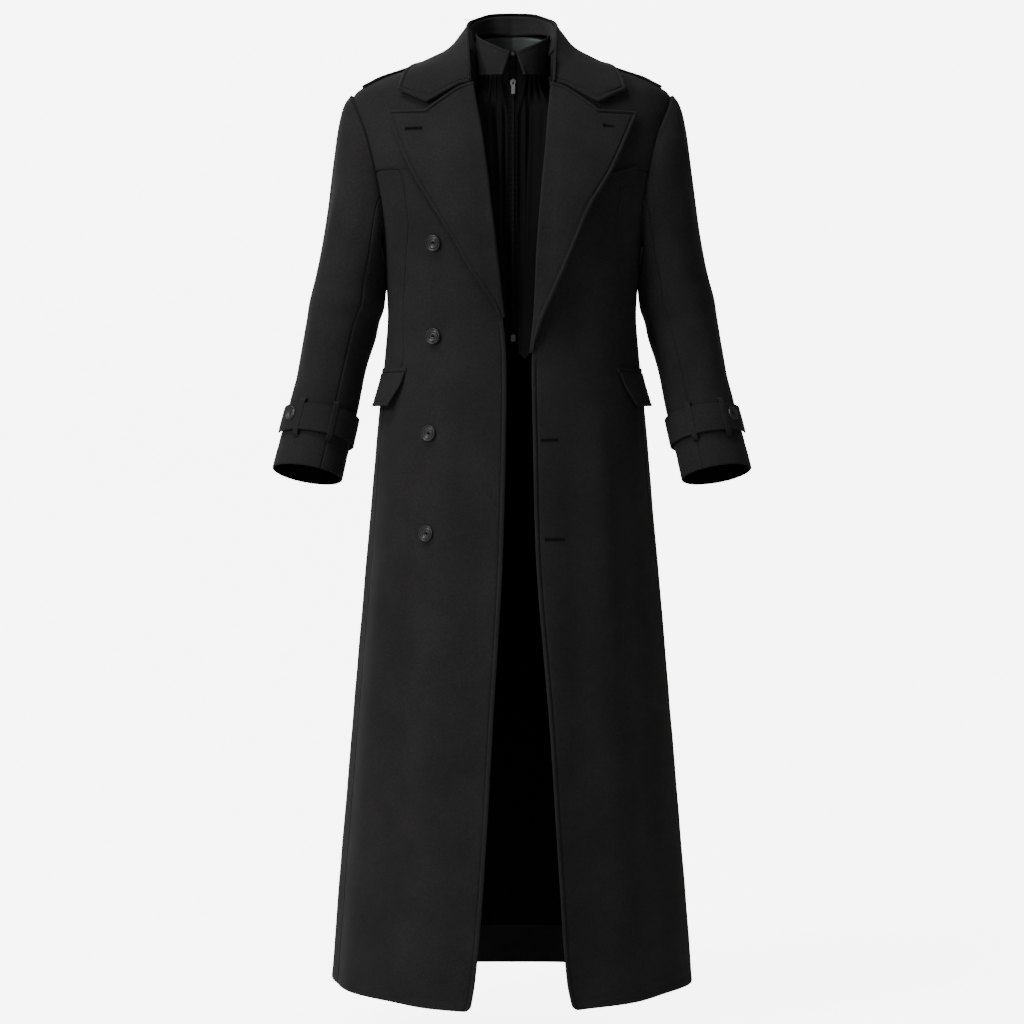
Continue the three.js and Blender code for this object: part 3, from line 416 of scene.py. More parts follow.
def cloth_piece(name, outer, inner, outer_material, inner_material, inside=None):
    """A closed cloth shell from its outer and inner grids; the rim takes the outer cloth."""
    rows, cols = outer.shape[:2]
    count = rows * cols
    verts = np.concatenate([outer.reshape(-1, 3), inner.reshape(-1, 3)])
    out_faces = grid_faces(rows, cols)
    in_faces = [tuple(reversed(face)) for face in grid_faces(rows, cols, count)]
    border = [(0, j) for j in range(cols)] + [(i, cols - 1) for i in range(1, rows)]
    border += [(rows - 1, j) for j in range(cols - 2, -1, -1)] + [(i, 0) for i in range(rows - 2, 0, -1)]
    around = [i * cols + j for i, j in border]
    rim = [(a, a + count, b + count, b) for a, b in zip(around, around[1:] + around[:1])]
    slots_in = [1] * len(in_faces) if inside is None else list(inside.ravel())
    slots = [0] * len(out_faces) + slots_in + [0] * len(rim)
    return mesh_piece(name, verts, out_faces + in_faces + rim, [outer_material, inner_material], slots)


def mirrored(grid, sign):
    return grid * np.array([sign, 1.0, 1.0])


def grid_normals(grid, side):
    du = np.gradient(grid, axis=1)
    dv = np.gradient(grid, axis=0)
    return unit(np.cross(du, dv)) * side


def finish_piece(piece, nodes=(), body=BODY):
    """Says what a finished piece rides on and stands for."""
    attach(piece, body)
    if nodes:
        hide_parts(*nodes)
    return piece


def sew(name, outer, inner, cloth="wool", lining=None, inside=None):
    """A finished cloth piece from its two faces; it stands for the part of the same name."""
    made = finishes()
    piece = cloth_piece(name, outer, inner, made[cloth], made[lining or cloth], inside)
    return finish_piece(piece, [name])


# Materials
def linear(hex_colour):
    """An sRGB hex value as the linear colour that a shader takes."""
    value = hex_colour.lstrip("#")
    parts = [int(value[i:i + 2], 16) / 255 for i in (0, 2, 4)]
    return tuple(c / 12.92 if c <= 0.04045 else ((c + 0.055) / 1.055) ** 2.4 for c in parts) + (1.0,)


def opaque(colour):
    return (*colour, 1.0)


def add_node(tree, kind, settings=None, inputs=None, links=None):
    """Adds one node with its settings, its input values, and the sockets that feed its inputs."""
    node = tree.nodes.new(kind)
    for key, value in (settings or {}).items():
        setattr(node, key, value)
    for key, value in (inputs or {}).items():
        node.inputs[key].default_value = value
    for key, socket in (links or {}).items():
        tree.links.new(socket, node.inputs[key])
    return node


def new_material(name, colour):
    """A material with a Principled shader; the colour is what a plain viewport shows."""
    material = bpy.data.materials.new(name)
    material.use_nodes = True
    material.diffuse_color = colour
    tree = material.node_tree
    tree.nodes.clear()
    shader = add_node(tree, "ShaderNodeBsdfPrincipled")
    add_node(tree, "ShaderNodeOutputMaterial", links={"Surface": shader.outputs["BSDF"]})
    return material, tree, shader


def ramp(tree, fac, stops):
    node = add_node(tree, "ShaderNodeValToRGB", links={"Fac": fac})
    elements = node.color_ramp.elements
    while len(elements) < len(stops):
        elements.new(0.5)
    for element, (place, colour) in zip(elements, stops):
        element.position = place
        element.color = colour
    return node.outputs["Color"]


def grey(value):
    return (value, value, value, 1.0)


FIBRE_MM = 0.9
PILE_MM = 3.2
CLOUD_MM = 70.0
SATIN_THREAD_MM = 0.7
TWILL_MM = 1.6
TAPE_RIB_MM = 1.2


def scale_of(size_mm):
    """Noise or wave repeats for each metre of object space."""
    return 1000.0 / size_mm


def melton_wool(sizes):
    """Melton wool, woven, fulled and brushed: no weave shows, only a short matt nap with paler clouds."""
    material, tree, shader = new_material("melton_wool_brushed", opaque(sizes.wool))
    place = add_node(tree, "ShaderNodeTexCoord").outputs["Object"]
    nap = add_node(tree, "ShaderNodeTexNoise", inputs={"Scale": scale_of(FIBRE_MM), "Detail": 3.0, "Roughness": 0.7},
                   links={"Vector": place})
    pile = add_node(tree, "ShaderNodeTexNoise", inputs={"Scale": scale_of(PILE_MM), "Detail": 2.0, "Roughness": 0.6},
                    links={"Vector": place})
    cloud = add_node(tree, "ShaderNodeTexNoise", inputs={"Scale": scale_of(CLOUD_MM), "Detail": 2.0, "Roughness": 0.5},
                     links={"Vector": place})
    base = ramp(tree, cloud.outputs["Fac"], [(0.3, opaque(sizes.wool_shade)), (0.72, opaque(sizes.wool))])
    fleck = ramp(tree, nap.outputs["Fac"], [(0.38, grey(0.7)), (0.62, grey(1.3))])
    speck = ramp(tree, pile.outputs["Fac"], [(0.35, grey(0.9)), (0.65, grey(1.1))])
    tinted = add_node(tree, "ShaderNodeMix", {"data_type": "RGBA", "blend_type": "MULTIPLY"}, {"Factor": 1.0},
                      {"A": base, "B": fleck})
    toned = add_node(tree, "ShaderNodeMix", {"data_type": "RGBA", "blend_type": "MULTIPLY"}, {"Factor": 1.0},
                     {"A": tinted.outputs["Result"], "B": speck})
    tree.links.new(toned.outputs["Result"], shader.inputs["Base Color"])
    shader.inputs["Roughness"].default_value = 0.96
    shader.inputs["Specular IOR Level"].default_value = 0.12
    shader.inputs["Sheen Weight"].default_value = 0.12
    shader.inputs["Sheen Roughness"].default_value = 0.55
    shader.inputs["Sheen Tint"].default_value = linear("#4c4b4a")
    coarse = add_node(tree, "ShaderNodeBump", inputs={"Strength": 0.22, "Distance": 0.0006},
                      links={"Height": pile.outputs["Fac"]})
    fine = add_node(tree, "ShaderNodeBump", inputs={"Strength": 0.35, "Distance": 0.00035},
                    links={"Height": nap.outputs["Fac"], "Normal": coarse.outputs["Normal"]})
    tree.links.new(fine.outputs["Normal"], shader.inputs["Normal"])
    return material


def satin_lining(sizes):
    """Viscose satin, woven with long floats: a black cloth with a soft gloss that runs across the threads. Its black is
    pushed darker than the cloth's own colour, as painted shade for the shaded inside of the coat and the bib.
    """
    material, tree, shader = new_material("satin_lining_woven", opaque(sizes.satin))
    place = add_node(tree, "ShaderNodeTexCoord").outputs["Object"]
    streak = add_node(tree, "ShaderNodeMapping", inputs={"Scale": (1.0, 1.0, 0.06)}, links={"Vector": place})
    thread = add_node(tree, "ShaderNodeTexNoise", inputs={"Scale": scale_of(SATIN_THREAD_MM * 3), "Detail": 2.0},
                      links={"Vector": streak.outputs["Vector"]})
    # Both ends of this ramp are near-black: the cloth's own black, darkened further as painted shade.
    colour = ramp(tree, thread.outputs["Fac"], [(0.3, linear("#020202")), (0.7, opaque(sizes.satin))])
    tree.links.new(colour, shader.inputs["Base Color"])
    shader.inputs["Roughness"].default_value = 0.75
    shader.inputs["Specular IOR Level"].default_value = 0.05
    bump = add_node(tree, "ShaderNodeBump", inputs={"Strength": 0.12, "Distance": 0.0003},
                    links={"Height": thread.outputs["Fac"]})
    tree.links.new(bump.outputs["Normal"], shader.inputs["Normal"])
    return material


def twill_cloth(sizes):
    """Fine twill at the inside of the neck, woven: dark grey-green with a faint diagonal line."""
    material, tree, shader = new_material("neck_twill_woven", opaque(sizes.neck))
    place = add_node(tree, "ShaderNodeTexCoord").outputs["Object"]
    turned = add_node(tree, "ShaderNodeMapping", inputs={"Rotation": (0.0, math.radians(35), 0.0)},
                      links={"Vector": place})
    wave = add_node(tree, "ShaderNodeTexWave", {"wave_type": "BANDS", "bands_direction": "X"},
                    {"Scale": scale_of(TWILL_MM) / 3, "Distortion": 1.5, "Detail": 2.0},
                    {"Vector": turned.outputs["Vector"]})
    colour = ramp(tree, wave.outputs["Fac"], [(0.2, linear("#2c3330")), (0.8, opaque(sizes.neck))])
    tree.links.new(colour, shader.inputs["Base Color"])
    shader.inputs["Roughness"].default_value = 0.8
    bump = add_node(tree, "ShaderNodeBump", inputs={"Strength": 0.15, "Distance": 0.0003},
                    links={"Height": wave.outputs["Fac"]})
    tree.links.new(bump.outputs["Normal"], shader.inputs["Normal"])
    return material


def button_resin(sizes):
    """Cast polyester resin, turned and polished: black-grey with faint horn streaks."""
    material, tree, shader = new_material("polyester_resin_turned", opaque(sizes.button))
    place = add_node(tree, "ShaderNodeTexCoord").outputs["Object"]
    streak = add_node(tree, "ShaderNodeTexNoise", inputs={"Scale": scale_of(9.0), "Detail": 4.0, "Distortion": 1.5},
                      links={"Vector": place})
    colour = ramp(tree, streak.outputs["Fac"], [(0.3, linear("#0d0d0e")), (0.7, opaque(sizes.button))])
    tree.links.new(colour, shader.inputs["Base Color"])
    shader.inputs["Roughness"].default_value = 0.42
    shader.inputs["Specular IOR Level"].default_value = 0.38
    return material


def zip_nickel():
    """Brass under nickel plate, cast and tumbled: pale grey metal with soft scratches."""
    material, tree, shader = new_material("nickel_plate_tumbled", linear("#474746"))
    place = add_node(tree, "ShaderNodeTexCoord").outputs["Object"]
    scratch = add_node(tree, "ShaderNodeTexNoise", inputs={"Scale": scale_of(1.0), "Detail": 3.0},
                       links={"Vector": place})
    rough = ramp(tree, scratch.outputs["Fac"], [(0.3, grey(0.42)), (0.7, grey(0.58))])
    tree.links.new(rough, shader.inputs["Roughness"])
    shader.inputs["Base Color"].default_value = linear("#474746")
    shader.inputs["Metallic"].default_value = 1.0
    return material


def zip_teeth_metal():
    """Brass teeth, stamped and blackened: dark grey metal, much duller than the slider."""
    material, tree, shader = new_material("brass_teeth_blackened", linear("#0a0a0a"))
    shader.inputs["Base Color"].default_value = linear("#0a0a0a")
    shader.inputs["Metallic"].default_value = 0.0
    shader.inputs["Specular IOR Level"].default_value = 0.15
    shader.inputs["Roughness"].default_value = 0.7
    return material


def zip_tape_cloth():
    """Polyester tape, woven with ribs along the teeth: flat black."""
    material, tree, shader = new_material("zip_tape_woven", linear("#141414"))
    place = add_node(tree, "ShaderNodeTexCoord").outputs["Object"]
    rib = add_node(tree, "ShaderNodeTexWave", {"wave_type": "BANDS", "bands_direction": "Z"},
                   {"Scale": scale_of(TAPE_RIB_MM) / 20}, {"Vector": place})
    colour = ramp(tree, rib.outputs["Fac"], [(0.2, linear("#030303")), (0.8, linear("#070707"))])
    tree.links.new(colour, shader.inputs["Base Color"])
    shader.inputs["Roughness"].default_value = 0.9
    shader.inputs["Specular IOR Level"].default_value = 0.05
    return material


def sewing_thread():
    """Spun polyester sewing thread, black: flatter than the wool, so a row of stitches reads as a fine dark line."""
    material, tree, shader = new_material("polyester_thread_spun", linear("#26251f"))
    place = add_node(tree, "ShaderNodeTexCoord").outputs["Object"]
    twist = add_node(tree, "ShaderNodeTexNoise", inputs={"Scale": scale_of(0.6)}, links={"Vector": place})
    colour = ramp(tree, twist.outputs["Fac"], [(0.35, linear("#060606")), (0.65, linear("#0c0c0b"))])
    tree.links.new(colour, shader.inputs["Base Color"])
    shader.inputs["Roughness"].default_value = 0.9
    shader.inputs["Specular IOR Level"].default_value = 0.08
    return material


FINISHES = {}


def finishes():
    """The coat's materials, made once."""
    if not FINISHES:
        sizes = bpy.context.scene.coat_finish
        FINISHES.update(
            wool=melton_wool(sizes), satin=satin_lining(sizes), neck=twill_cloth(sizes),
            button=button_resin(sizes), metal=zip_nickel(), teeth=zip_teeth_metal(), tape=zip_tape_cloth(),
            thread=sewing_thread())
    return FINISHES


# Body panels
SKIRT_STEP = 7.5
FACING_WIDTH = 95.0
HEM_BAND_Z = -1295.0
SIDE_TOP = {"start": -340.0, "seam": SEAM_TOP_Z - SEAM}
LINING_EDGE = {"hem": -1295.0, "neck": -110.0, "nape": 25.0}
LINING_SHARE = 7 / 8
PANEL_COLUMNS = 30
ARM_ROW_STEP = 5.5
NAPE_ROW_STEP = 6.0
LAPEL_CLEAR = 6.0


def armhole_half(z, spread):
    k = np.minimum(1, np.abs(z - ARMHOLE["mid_z"]) / ARMHOLE["half"])
    return spread * np.sqrt(np.maximum(0, 1 - k * k))


def armhole_low(angle):
    spread = np.where(angle < 90, ARMHOLE["front"], ARMHOLE["back"])
    k = np.minimum(1, np.abs(angle - 90) / spread)
    return ARMHOLE["mid_z"] - ARMHOLE["half"] * np.sqrt(np.maximum(0, 1 - k * k))


def front_outer_angle(z):
    if z >= SHOULDER_Z:
        return 90.0
    if z >= ARM_SEAM_Z:
        return 90 - float(armhole_half(z, ARMHOLE["front"]))
    return float(front_angle(column(SIDE_SEAM_TABLE, "z", "x", z), z))


def back_seam_angle(z):
    return float(lerp(BACK_SEAM["hem"], BACK_SEAM["armhole"], clamp01((z - HEM_Z) / (ARMHOLE["mid_z"] - HEM_Z))))


def back_outer_angle(z):
    if z >= SHOULDER_Z:
        return 90.0
    if z >= ARM_SEAM_Z:
        return 90 + float(armhole_half(z, ARMHOLE["back"]))
    return back_seam_angle(z)


def seam_step(z):
    """The angle that opens a seam by half its gap."""
    return math.degrees(SEAM / 2 / max(60.0, float(ring(z)["w"]) * 0.5))


def panel_faces(rows, place, start, end, count, relief, side, depth=0.0, thickness=WOOL):
    """Outer and inner grids of a body panel; place gives angle and height, relief the rise of both faces."""
    outer, inner, near = [], [], []
    for row in rows:
        share, from_start, from_end = along_row(lambda s: form_point(*place(row, s)), start, end, count)
        angle, z = place(row, share)
        p, n = form_point(angle, z), form_normal(angle, z)
        soft = folds(angle, z, side) + uneven(p)
        up, down = relief(row, from_start, from_end, angle)
        outer.append(p + n * (soft + up - depth)[:, None])
        inner.append(p + n * (soft + down - depth - thickness)[:, None])
        near.append(from_start)
    return np.array(outer), np.array(inner), np.array(near)


def body_rows(top):
    """Heights of a body panel's rows, with finer ones at the hem and at the foot of the armhole."""
    rows = steps_between(HEM_Z, SEAM_TOP_Z, SKIRT_STEP, HEM_STEPS, (0, 1.0, 2.0, 4.0, 6.0))
    return np.concatenate([rows, steps_between(ARM_SEAM_Z, top, ARM_ROW_STEP)])


def hem_turn(row):
    d = row - HEM_Z
    return float(turned_edge(d) + 0.3 * bell(d - 4, 3.0) - 0.4 * bell(d - HEM_STITCH, 1.0))


def hem_corner(row):
    """How far the front edge draws back at its rounded lower corner."""
    up = min(HEM_CORNER, row - HEM_Z)
    return HEM_CORNER - math.sqrt(HEM_CORNER ** 2 - (HEM_CORNER - up) ** 2)


def make_front(side):
    sign = SIDES[side]

    def place(row, s):
        edge = abs(float(column(OPENING_TABLE, "z", side, row))) + hem_corner(row)
        start = float(front_angle(edge, row))
        return lerp(start, front_outer_angle(row) - seam_step(row), s), np.full(np.shape(s), row)

    def relief(row, near, far, angle):
        edge = turned_edge(near)
        below = float(smooth((LAPEL_START[side] - row) / 30))
        seam = seam_dip(far) * float(smooth((ARM_SEAM_Z - row) / 8))
        up = edge + stitched(near) * below + seam + hem_turn(row)
        return up, -edge - float(turned_edge(row - HEM_Z))

    rows = body_rows(NECK_Z)
    outer, inner, near = panel_faces(rows, place, EDGE_STEPS, SEAM_STEPS, PANEL_COLUMNS, relief, sign)
    facing = (near[:-1, :-1] < FACING_WIDTH) | (rows[:-1, None] < HEM_BAND_Z)
    sewn = rows < LAPEL_START[side] - LAPEL_CLEAR
    mark_stitches(f"front_{side}", mirrored(outer[sewn, ROW_AT - 1], sign))
    return sew(f"front_{side}", mirrored(outer, sign), mirrored(inner, sign), lining="satin",
               inside=np.where(facing, 0, 1))


def make_side(side):
    sign = SIDES[side]

    def place(row, s):
        start, end = front_outer_angle(row) + seam_step(row), back_seam_angle(row) - seam_step(row)
        angle = lerp(start, end, s)
        k = float(clamp01((row - SIDE_TOP["start"]) / (SIDE_TOP["seam"] - SIDE_TOP["start"])))
        top = np.minimum(SIDE_TOP["seam"], armhole_low(angle) - SEAM)
        return angle, np.where(k > 0, lerp(SIDE_TOP["start"], top, k), row)

    def relief(row, near, far, angle):
        up = seam_dip(near) + seam_dip(far) + hem_turn(row)
        return up, np.full(near.shape, -float(turned_edge(row - HEM_Z)))

    rows = steps_between(HEM_Z, SIDE_TOP["seam"], SKIRT_STEP, HEM_STEPS, (0, 0.8, 2.0, 4.0))
    outer, inner, near = panel_faces(rows, place, SEAM_STEPS, SEAM_STEPS, PANEL_COLUMNS, relief, sign)
    band = np.broadcast_to(rows[:-1, None] < HEM_BAND_Z, (len(rows) - 1, near.shape[1] - 1))
    return sew(f"side_{side}", mirrored(outer, sign), mirrored(inner, sign), lining="satin",
               inside=np.where(band, 0, 1))


def back_place(shown):
    """Angle and height on a half back, from its centre seam outwards; the rows over the neck run flat at the nape."""
    def place(row, s):
        k = np.asarray(s) * shown
        z = lerp(row, NECK_Z + 1, k * k) if row > NECK_Z else np.full(k.shape, row)
        return lerp(180.0, back_outer_angle(row) + seam_step(row), k), z
    return place


def make_back(side):
    sign = SIDES[side]

    def relief(row, near, far, angle):
        seam = seam_dip(far) * float(smooth((ARM_SEAM_Z - row) / 8))
        return seam_dip(near) + seam + hem_turn(row), np.full(near.shape, -float(turned_edge(row - HEM_Z)))

    rows = np.concatenate([body_rows(NECK_Z), steps_between(NECK_Z, NAPE_Z, NAPE_ROW_STEP)[1:]])
    outer, inner, _ = panel_faces(rows, back_place(1.0), SEAM_STEPS, SEAM_STEPS, PANEL_COLUMNS, relief, sign)
    return sew(f"back_{side}", mirrored(outer, sign), mirrored(inner, sign))


def make_linings(side):
    """Black satin inside the back, and the grey-green cloth at its neck."""
    sign = SIDES[side]
    low = steps_between(LINING_EDGE["hem"], LINING_EDGE["neck"] - SEAM, SKIRT_STEP, HEM_STEPS)
    high = steps_between(LINING_EDGE["neck"], LINING_EDGE["nape"], NAPE_ROW_STEP, SEAM_STEPS)
    pieces = []
    for name, rows, slot, cloth, ease in (("back_lining", low, "satin", "satin", 0.9),
                                          ("neck_lining", high, "neck_cloth", "neck", 0.0)):
        def relief(row, near, far, angle, ease=ease):
            wave = 1 + np.sin(angle * 0.42 + 0.8 * math.sin(row * 0.011))
            bulge = ease * wave * float(smooth((row - rows[0]) / 200)) + 0.8 * (1 - bell(near, 3.0))
            return -bulge, -bulge
        outer, inner, _ = panel_faces(rows, back_place(LINING_SHARE), SEAM_STEPS, (0,), PANEL_COLUMNS, relief, sign,
                                      WOOL + SEAM, LINING)
        pieces.append(sew(f"{name}_{side}", mirrored(outer, sign), mirrored(inner, sign),
                          cloth))
    return pieces


# Lapels, with the peak and the notch, as seen from the front
LAPEL_EDGE_KEYS = ("z", "right", "left")
LAPEL_EDGE = [
    (-455, -4, 24),
    (-425, -8, 34.5),
    (-402, -16.8, 41),
    (-374, -28, 52),
    (-330, -57, 70),
    (-282, -84, 89),
    (-240, -111, 108),
    (-193, -139, 136.5),
    (-144, -161.5, 160),
    (-103, -176, 178),
]
LAPEL_EDGE_TABLE = rows_of(LAPEL_EDGE_KEYS, LAPEL_EDGE)
PEAK = {"right": (176.0, -102.0), "left": (178.5, -105.0)}
LAPEL_START = {"right": -398.0, "left": -448.0}
LAPEL_TOP = [(0, 58, -63.5), (0.14, 73.7, -69), (0.5, 117, -99), (0.58, 121, -103.5)]
LAPEL = {"rest": 4.8, "edge": 6.4, "puff": 2.6, "puff_width": 70.0, "rises_over": 20.0,
         "stand_off": {"right": 2.0, "left": 9.0}, "narrowest": 2.5}
TURN_STEPS = ((-3.4, -0.4), (-3.5, 0.6), (-3.3, 1.8), (-2.9, 2.9), (-2.2, 3.8), (-1.2, 4.5), (-0.2, 4.75))


def polyline(rows, s):
    """Values along a table of (share, x, z) rows."""
    table = np.array(rows, float)
    return np.interp(s, table[:, 0], table[:, 1]), np.interp(s, table[:, 0], table[:, 2])


def lapel_place(r, s, side):
    """A place on the lapel in the front view: r runs up the roll line, s from it to the outer edge."""
    start = LAPEL_START[side]
    peak = PEAK[side]
    roll_z = lerp(start, LAPEL_TOP[0][2], r)
    roll_x = LAPEL_TOP[0][1] if r == 1 else abs(float(column(OPENING_TABLE, "z", side, roll_z)))
    edge_z = lerp(start + 4, peak[1], r)
    edge_x = peak[0] if r == 1 else max(abs(float(column(LAPEL_EDGE_TABLE, "z", side, edge_z))),
                                            roll_x + LAPEL["narrowest"])
    top_x, top_z = polyline(LAPEL_TOP + [(1, *peak)], s)
    pull = r ** 7
    x = lerp(roll_x, edge_x, s) + pull * (top_x - lerp(LAPEL_TOP[0][1], peak[0], s))
    z = lerp(roll_z, edge_z, s) + pull * (top_z - lerp(LAPEL_TOP[0][2], peak[1], s))
    return x, z, roll_x, roll_z


def shares(point, steps_start, steps_end, count, samples=300):
    """Shares along a curve: fine steps in millimetres at both ends and even ones between."""
    return along_row(point, steps_start, steps_end, count, samples)[0]


def shell_of(grid, relief, under, thickness, out):
    """Outer and inner faces of a laid piece: relief lifts the outer face and under lifts the inner one."""
    normals = grid_normals(grid, out)
    return grid + normals * relief[..., None], grid + normals * (under - thickness)[..., None]


def edge_distance(grid, axis, from_end):
    """Distance of each point from one border of its grid, along the grid lines."""
    steps = np.linalg.norm(np.diff(grid, axis=axis), axis=2)
    zero = np.zeros_like(np.take(steps, [0], axis=axis))
    length = np.concatenate([zero, np.cumsum(steps, axis=axis)], axis=axis)
    return np.take(length, [-1], axis=axis) - length if from_end else length


def border_distance(grid, axis):
    """Distance of each point from the nearer of the two borders across an axis of its grid."""
    return np.minimum(edge_distance(grid, axis, False), edge_distance(grid, axis, True))


def finished_edges(first, second, depth=STITCH_DEPTH):
    """Relief of both faces of a piece with two turned edges and one row of stitching along them."""
    turn = turned_edge(first) + turned_edge(second)
    return turn + stitched(np.minimum(first, second), depth=depth), -turn


def make_lapel(side):
    sign = SIDES[side]
    up = shares(lambda r: np.array([on_front(*lapel_place(float(k), 1.0, side)[:2], 0) for k in r]),
                (0, 1, 3), EDGE_STEPS, 46, 60)
    across = shares(lambda s: on_front(*lapel_place(0.75, s, side)[:2], 0), (0, 2.5), EDGE_STEPS, 20)
    grid = []
    for r in up:
        x, z, roll_x, roll_z = lapel_place(float(r), across[1:], side)
        beside = np.array([step[0] for step in TURN_STEPS])
        over = np.array([step[1] for step in TURN_STEPS])
        width = np.abs(x - roll_x)
        puff = LAPEL["puff"] * np.sin(np.pi * np.minimum(1, width / LAPEL["puff_width"]))
        begin = float(smooth((r + 0.01) / 0.07))
        height = lerp(LAPEL["rest"], LAPEL["edge"] + LAPEL["stand_off"][side] * np.sin(np.pi * r), across[1:])
        height = lerp(0.7, height + puff * clamp01(width / LAPEL["rises_over"]), begin)
        wave = 0.9 * np.sin(roll_z * 0.028 + across[1:] * 2.2) * np.sin(np.pi * across[1:])
        turn = on_front(roll_x + beside, np.full(beside.shape, roll_z), over * lerp(0.35, 1.0, begin))
        grid.append(np.concatenate([turn, on_front(x, z, height + wave)]))
    grid = np.array(grid)
    relief, under = finished_edges(edge_distance(grid, 1, True), edge_distance(grid, 0, True))
    outer, inner = shell_of(mirrored(grid, sign), relief + uneven(grid, 0.3), under, WOOL, sign)
    mark_stitches(f"lapel_{side}", np.concatenate([outer[4:-ROW_AT, -ROW_AT], outer[-ROW_AT, -ROW_AT:8:-1]]))
    return sew(f"lapel_{side}", outer, inner)


# Collar: the fold round the neck, the outer edge and the foot of the stand; u is 0 behind and 1 in front
COLLAR_KEYS = ("u", "fx", "fy", "fz", "ex", "ey", "ez", "sx", "sy", "sz")
COLLAR = [
    (0, 0, 71, 57.5, 0, 104, -43, 0, 69, 27.2),
    (0.15, 31, 62, 54.5, 44, 99, -41, 31, 58, 27),
    (0.3, 52, 36, 45, 88, 80, -35, 48, 36, 23),
    (0.45, 64, -2, 32, 114, 46, -28, 58, 0, 13),
    (0.62, 64, -34, 12, 132, 8, -29, 56, -29, -3),
    (0.8, 62, -63, -22, 149, -34, -48, 54, -46, -28),
    (1, 60, -84, -60.2, 161, -66, -74, 51, -58, -50),
]
COLLAR_TABLE = rows_of(COLLAR_KEYS, COLLAR)
COLLAR_FRONT = [(0, 60, -60.2), (0.16, 73.7, -65.8), (0.55, 117.4, -97), (1, 161, -74)]
LEAF = {"rest": 4.2, "over_strap": 6.4, "strap_at": 0.6, "strap_spread": 0.22, "tip_lift": 5.0}
FOLD_STEPS = ((-3.2, 0.2), (-2.9, 0.9), (-2.2, 1.5), (-1.0, 1.8), (0.2, 1.6), (1.0, 1.1), (1.6, 0.4))
STAND = {"from": 0.74, "inset": 1.8, "below": 3.6}


def collar_row(u, kind):
    return stack(*[column(COLLAR_TABLE, "u", kind + axis, u) for axis in "xyz"])


def outward(p, out, up):
    r = np.hypot(p[0], p[1])
    return np.array([p[0] * (1 + out / r), p[1] * (1 + out / r), p[2] + up])


def leaf_points(u, s):
    """Points of the falling leaf at one place round the neck; s runs from the fold to the outer edge."""
    p = lerp(collar_row(u, "f")[None], collar_row(u, "e")[None], s[:, None])
    end_x, end_z = polyline(COLLAR_FRONT, s)
    pull = u ** 9
    p[:, 0] += pull * (end_x - lerp(COLLAR_FRONT[0][1], COLLAR_FRONT[3][1], s))
    p[:, 2] += pull * (end_z - lerp(COLLAR_FRONT[0][2], COLLAR_FRONT[3][2], s))
    height = height_over(p)
    over = smooth(1 - abs(u - LEAF["strap_at"]) / LEAF["strap_spread"])
    rest = lerp(LEAF["rest"], LEAF["over_strap"], float(over))
    rest = rest + LEAF["tip_lift"] * float(smooth((u - 0.7) / 0.3)) * s
    seat = rest if u > 0.84 else lerp(np.maximum(height, rest), rest, clamp01((s - 0.22) / 0.4))
    return laid_on(p, seat)


def make_collar():
    across = shares(lambda s: leaf_points(0.7, s), (0.4, 2, 4), EDGE_STEPS, 14)
    half = shares(lambda u: np.array([leaf_points(float(k), np.array([1.0]))[0] for k in u]), SEAM_STEPS[:3],
                  EDGE_STEPS, 40, 80)
    turns = np.concatenate([-half[::-1], half[1:]])
    grid = []
    for k in turns:
        u = abs(float(k))
        fold = collar_row(u, "f")
        line = np.concatenate([[outward(fold, *step) for step in FOLD_STEPS], leaf_points(u, across)])
        grid.append(mirrored(line, -1 if k < 0 else 1))
    grid = np.array(grid)
    relief, under = finished_edges(edge_distance(grid, 1, True), border_distance(grid, 0))
    outer, inner = shell_of(grid, relief + uneven(grid, 0.35), under, WOOL, -1)
    mark_stitches("collar_leaf", np.concatenate([
        outer[ROW_AT - 1, 9:-ROW_AT], outer[ROW_AT - 1:-ROW_AT, -ROW_AT], outer[-ROW_AT, -ROW_AT:8:-1]]))
    leaf = sew("collar_leaf", outer, inner)

    turns = np.linspace(-STAND["from"], STAND["from"], 61)
    lift = np.linspace(-0.12, 1, 10)
    grid = []
    for k in turns:
        u = abs(float(k))
        top = outward(collar_row(u, "f"), -STAND["inset"], -STAND["below"])
        line = lerp(collar_row(u, "s")[None], top[None], lift[:, None])
        grid.append(mirrored(line, -1 if k < 0 else 1))
    grid = np.array(grid)
    foot = edge_distance(grid, 1, False)
    outer, inner = shell_of(grid, uneven(grid, 0.15), -0.5 * bell(foot - 12, 0.9), WOOL, 1)
    return [leaf, sew("collar_stand", outer, inner)]


# Sleeves: rings below the armhole; tilt is outwards and lean forwards, in degrees
SLEEVE_KEYS = ("k", "x", "y", "z", "rx", "ry", "tilt", "lean")
SLEEVE_RINGS = [
    (0, 232.5, 4, -338, 52.5, 65, 10.5, 0),
    (0.12, 237.8, 5.2, -370.4, 54.8, 63.2, 11.1, 1.2),
    (0.2, 244.7, 6, -392, 52.8, 62, 11.5, 2),
    (0.45, 259.2, 1, -457, 49.2, 58, 12.5, 9),
    (0.7, 272, -15, -523, 49.5, 55, 8, 14),
    (1, 293.5, -45, -620, 51, 52, 9.5, 16),
]
SLEEVE_TABLE = rows_of(SLEEVE_KEYS, SLEEVE_RINGS)
SLEEVE_SEAMS = {"front": 114.0, "back": -112.0, "gap": 0.2}
SLEEVE_COLUMNS = {"top": 46, "under": 28}
SEAM_SHARES = (0, 0.01, 0.02, 0.03, 0.05, 0.08)
SLEEVE_DROP = 300.0
CUFF_STITCH = 30.0
CREASE_FADE = {"head": 0.12, "cuff": 0.05}
ALLOWANCE = {"wider": 1.035, "under": 3.3, "wall": 0.6}
CAP = {"out": 32.0, "drop": 4.0, "top_reach": 108.0, "front_reach": 60.0, "start": 1.1, "clear": -1.5, "inwards": 0.25}

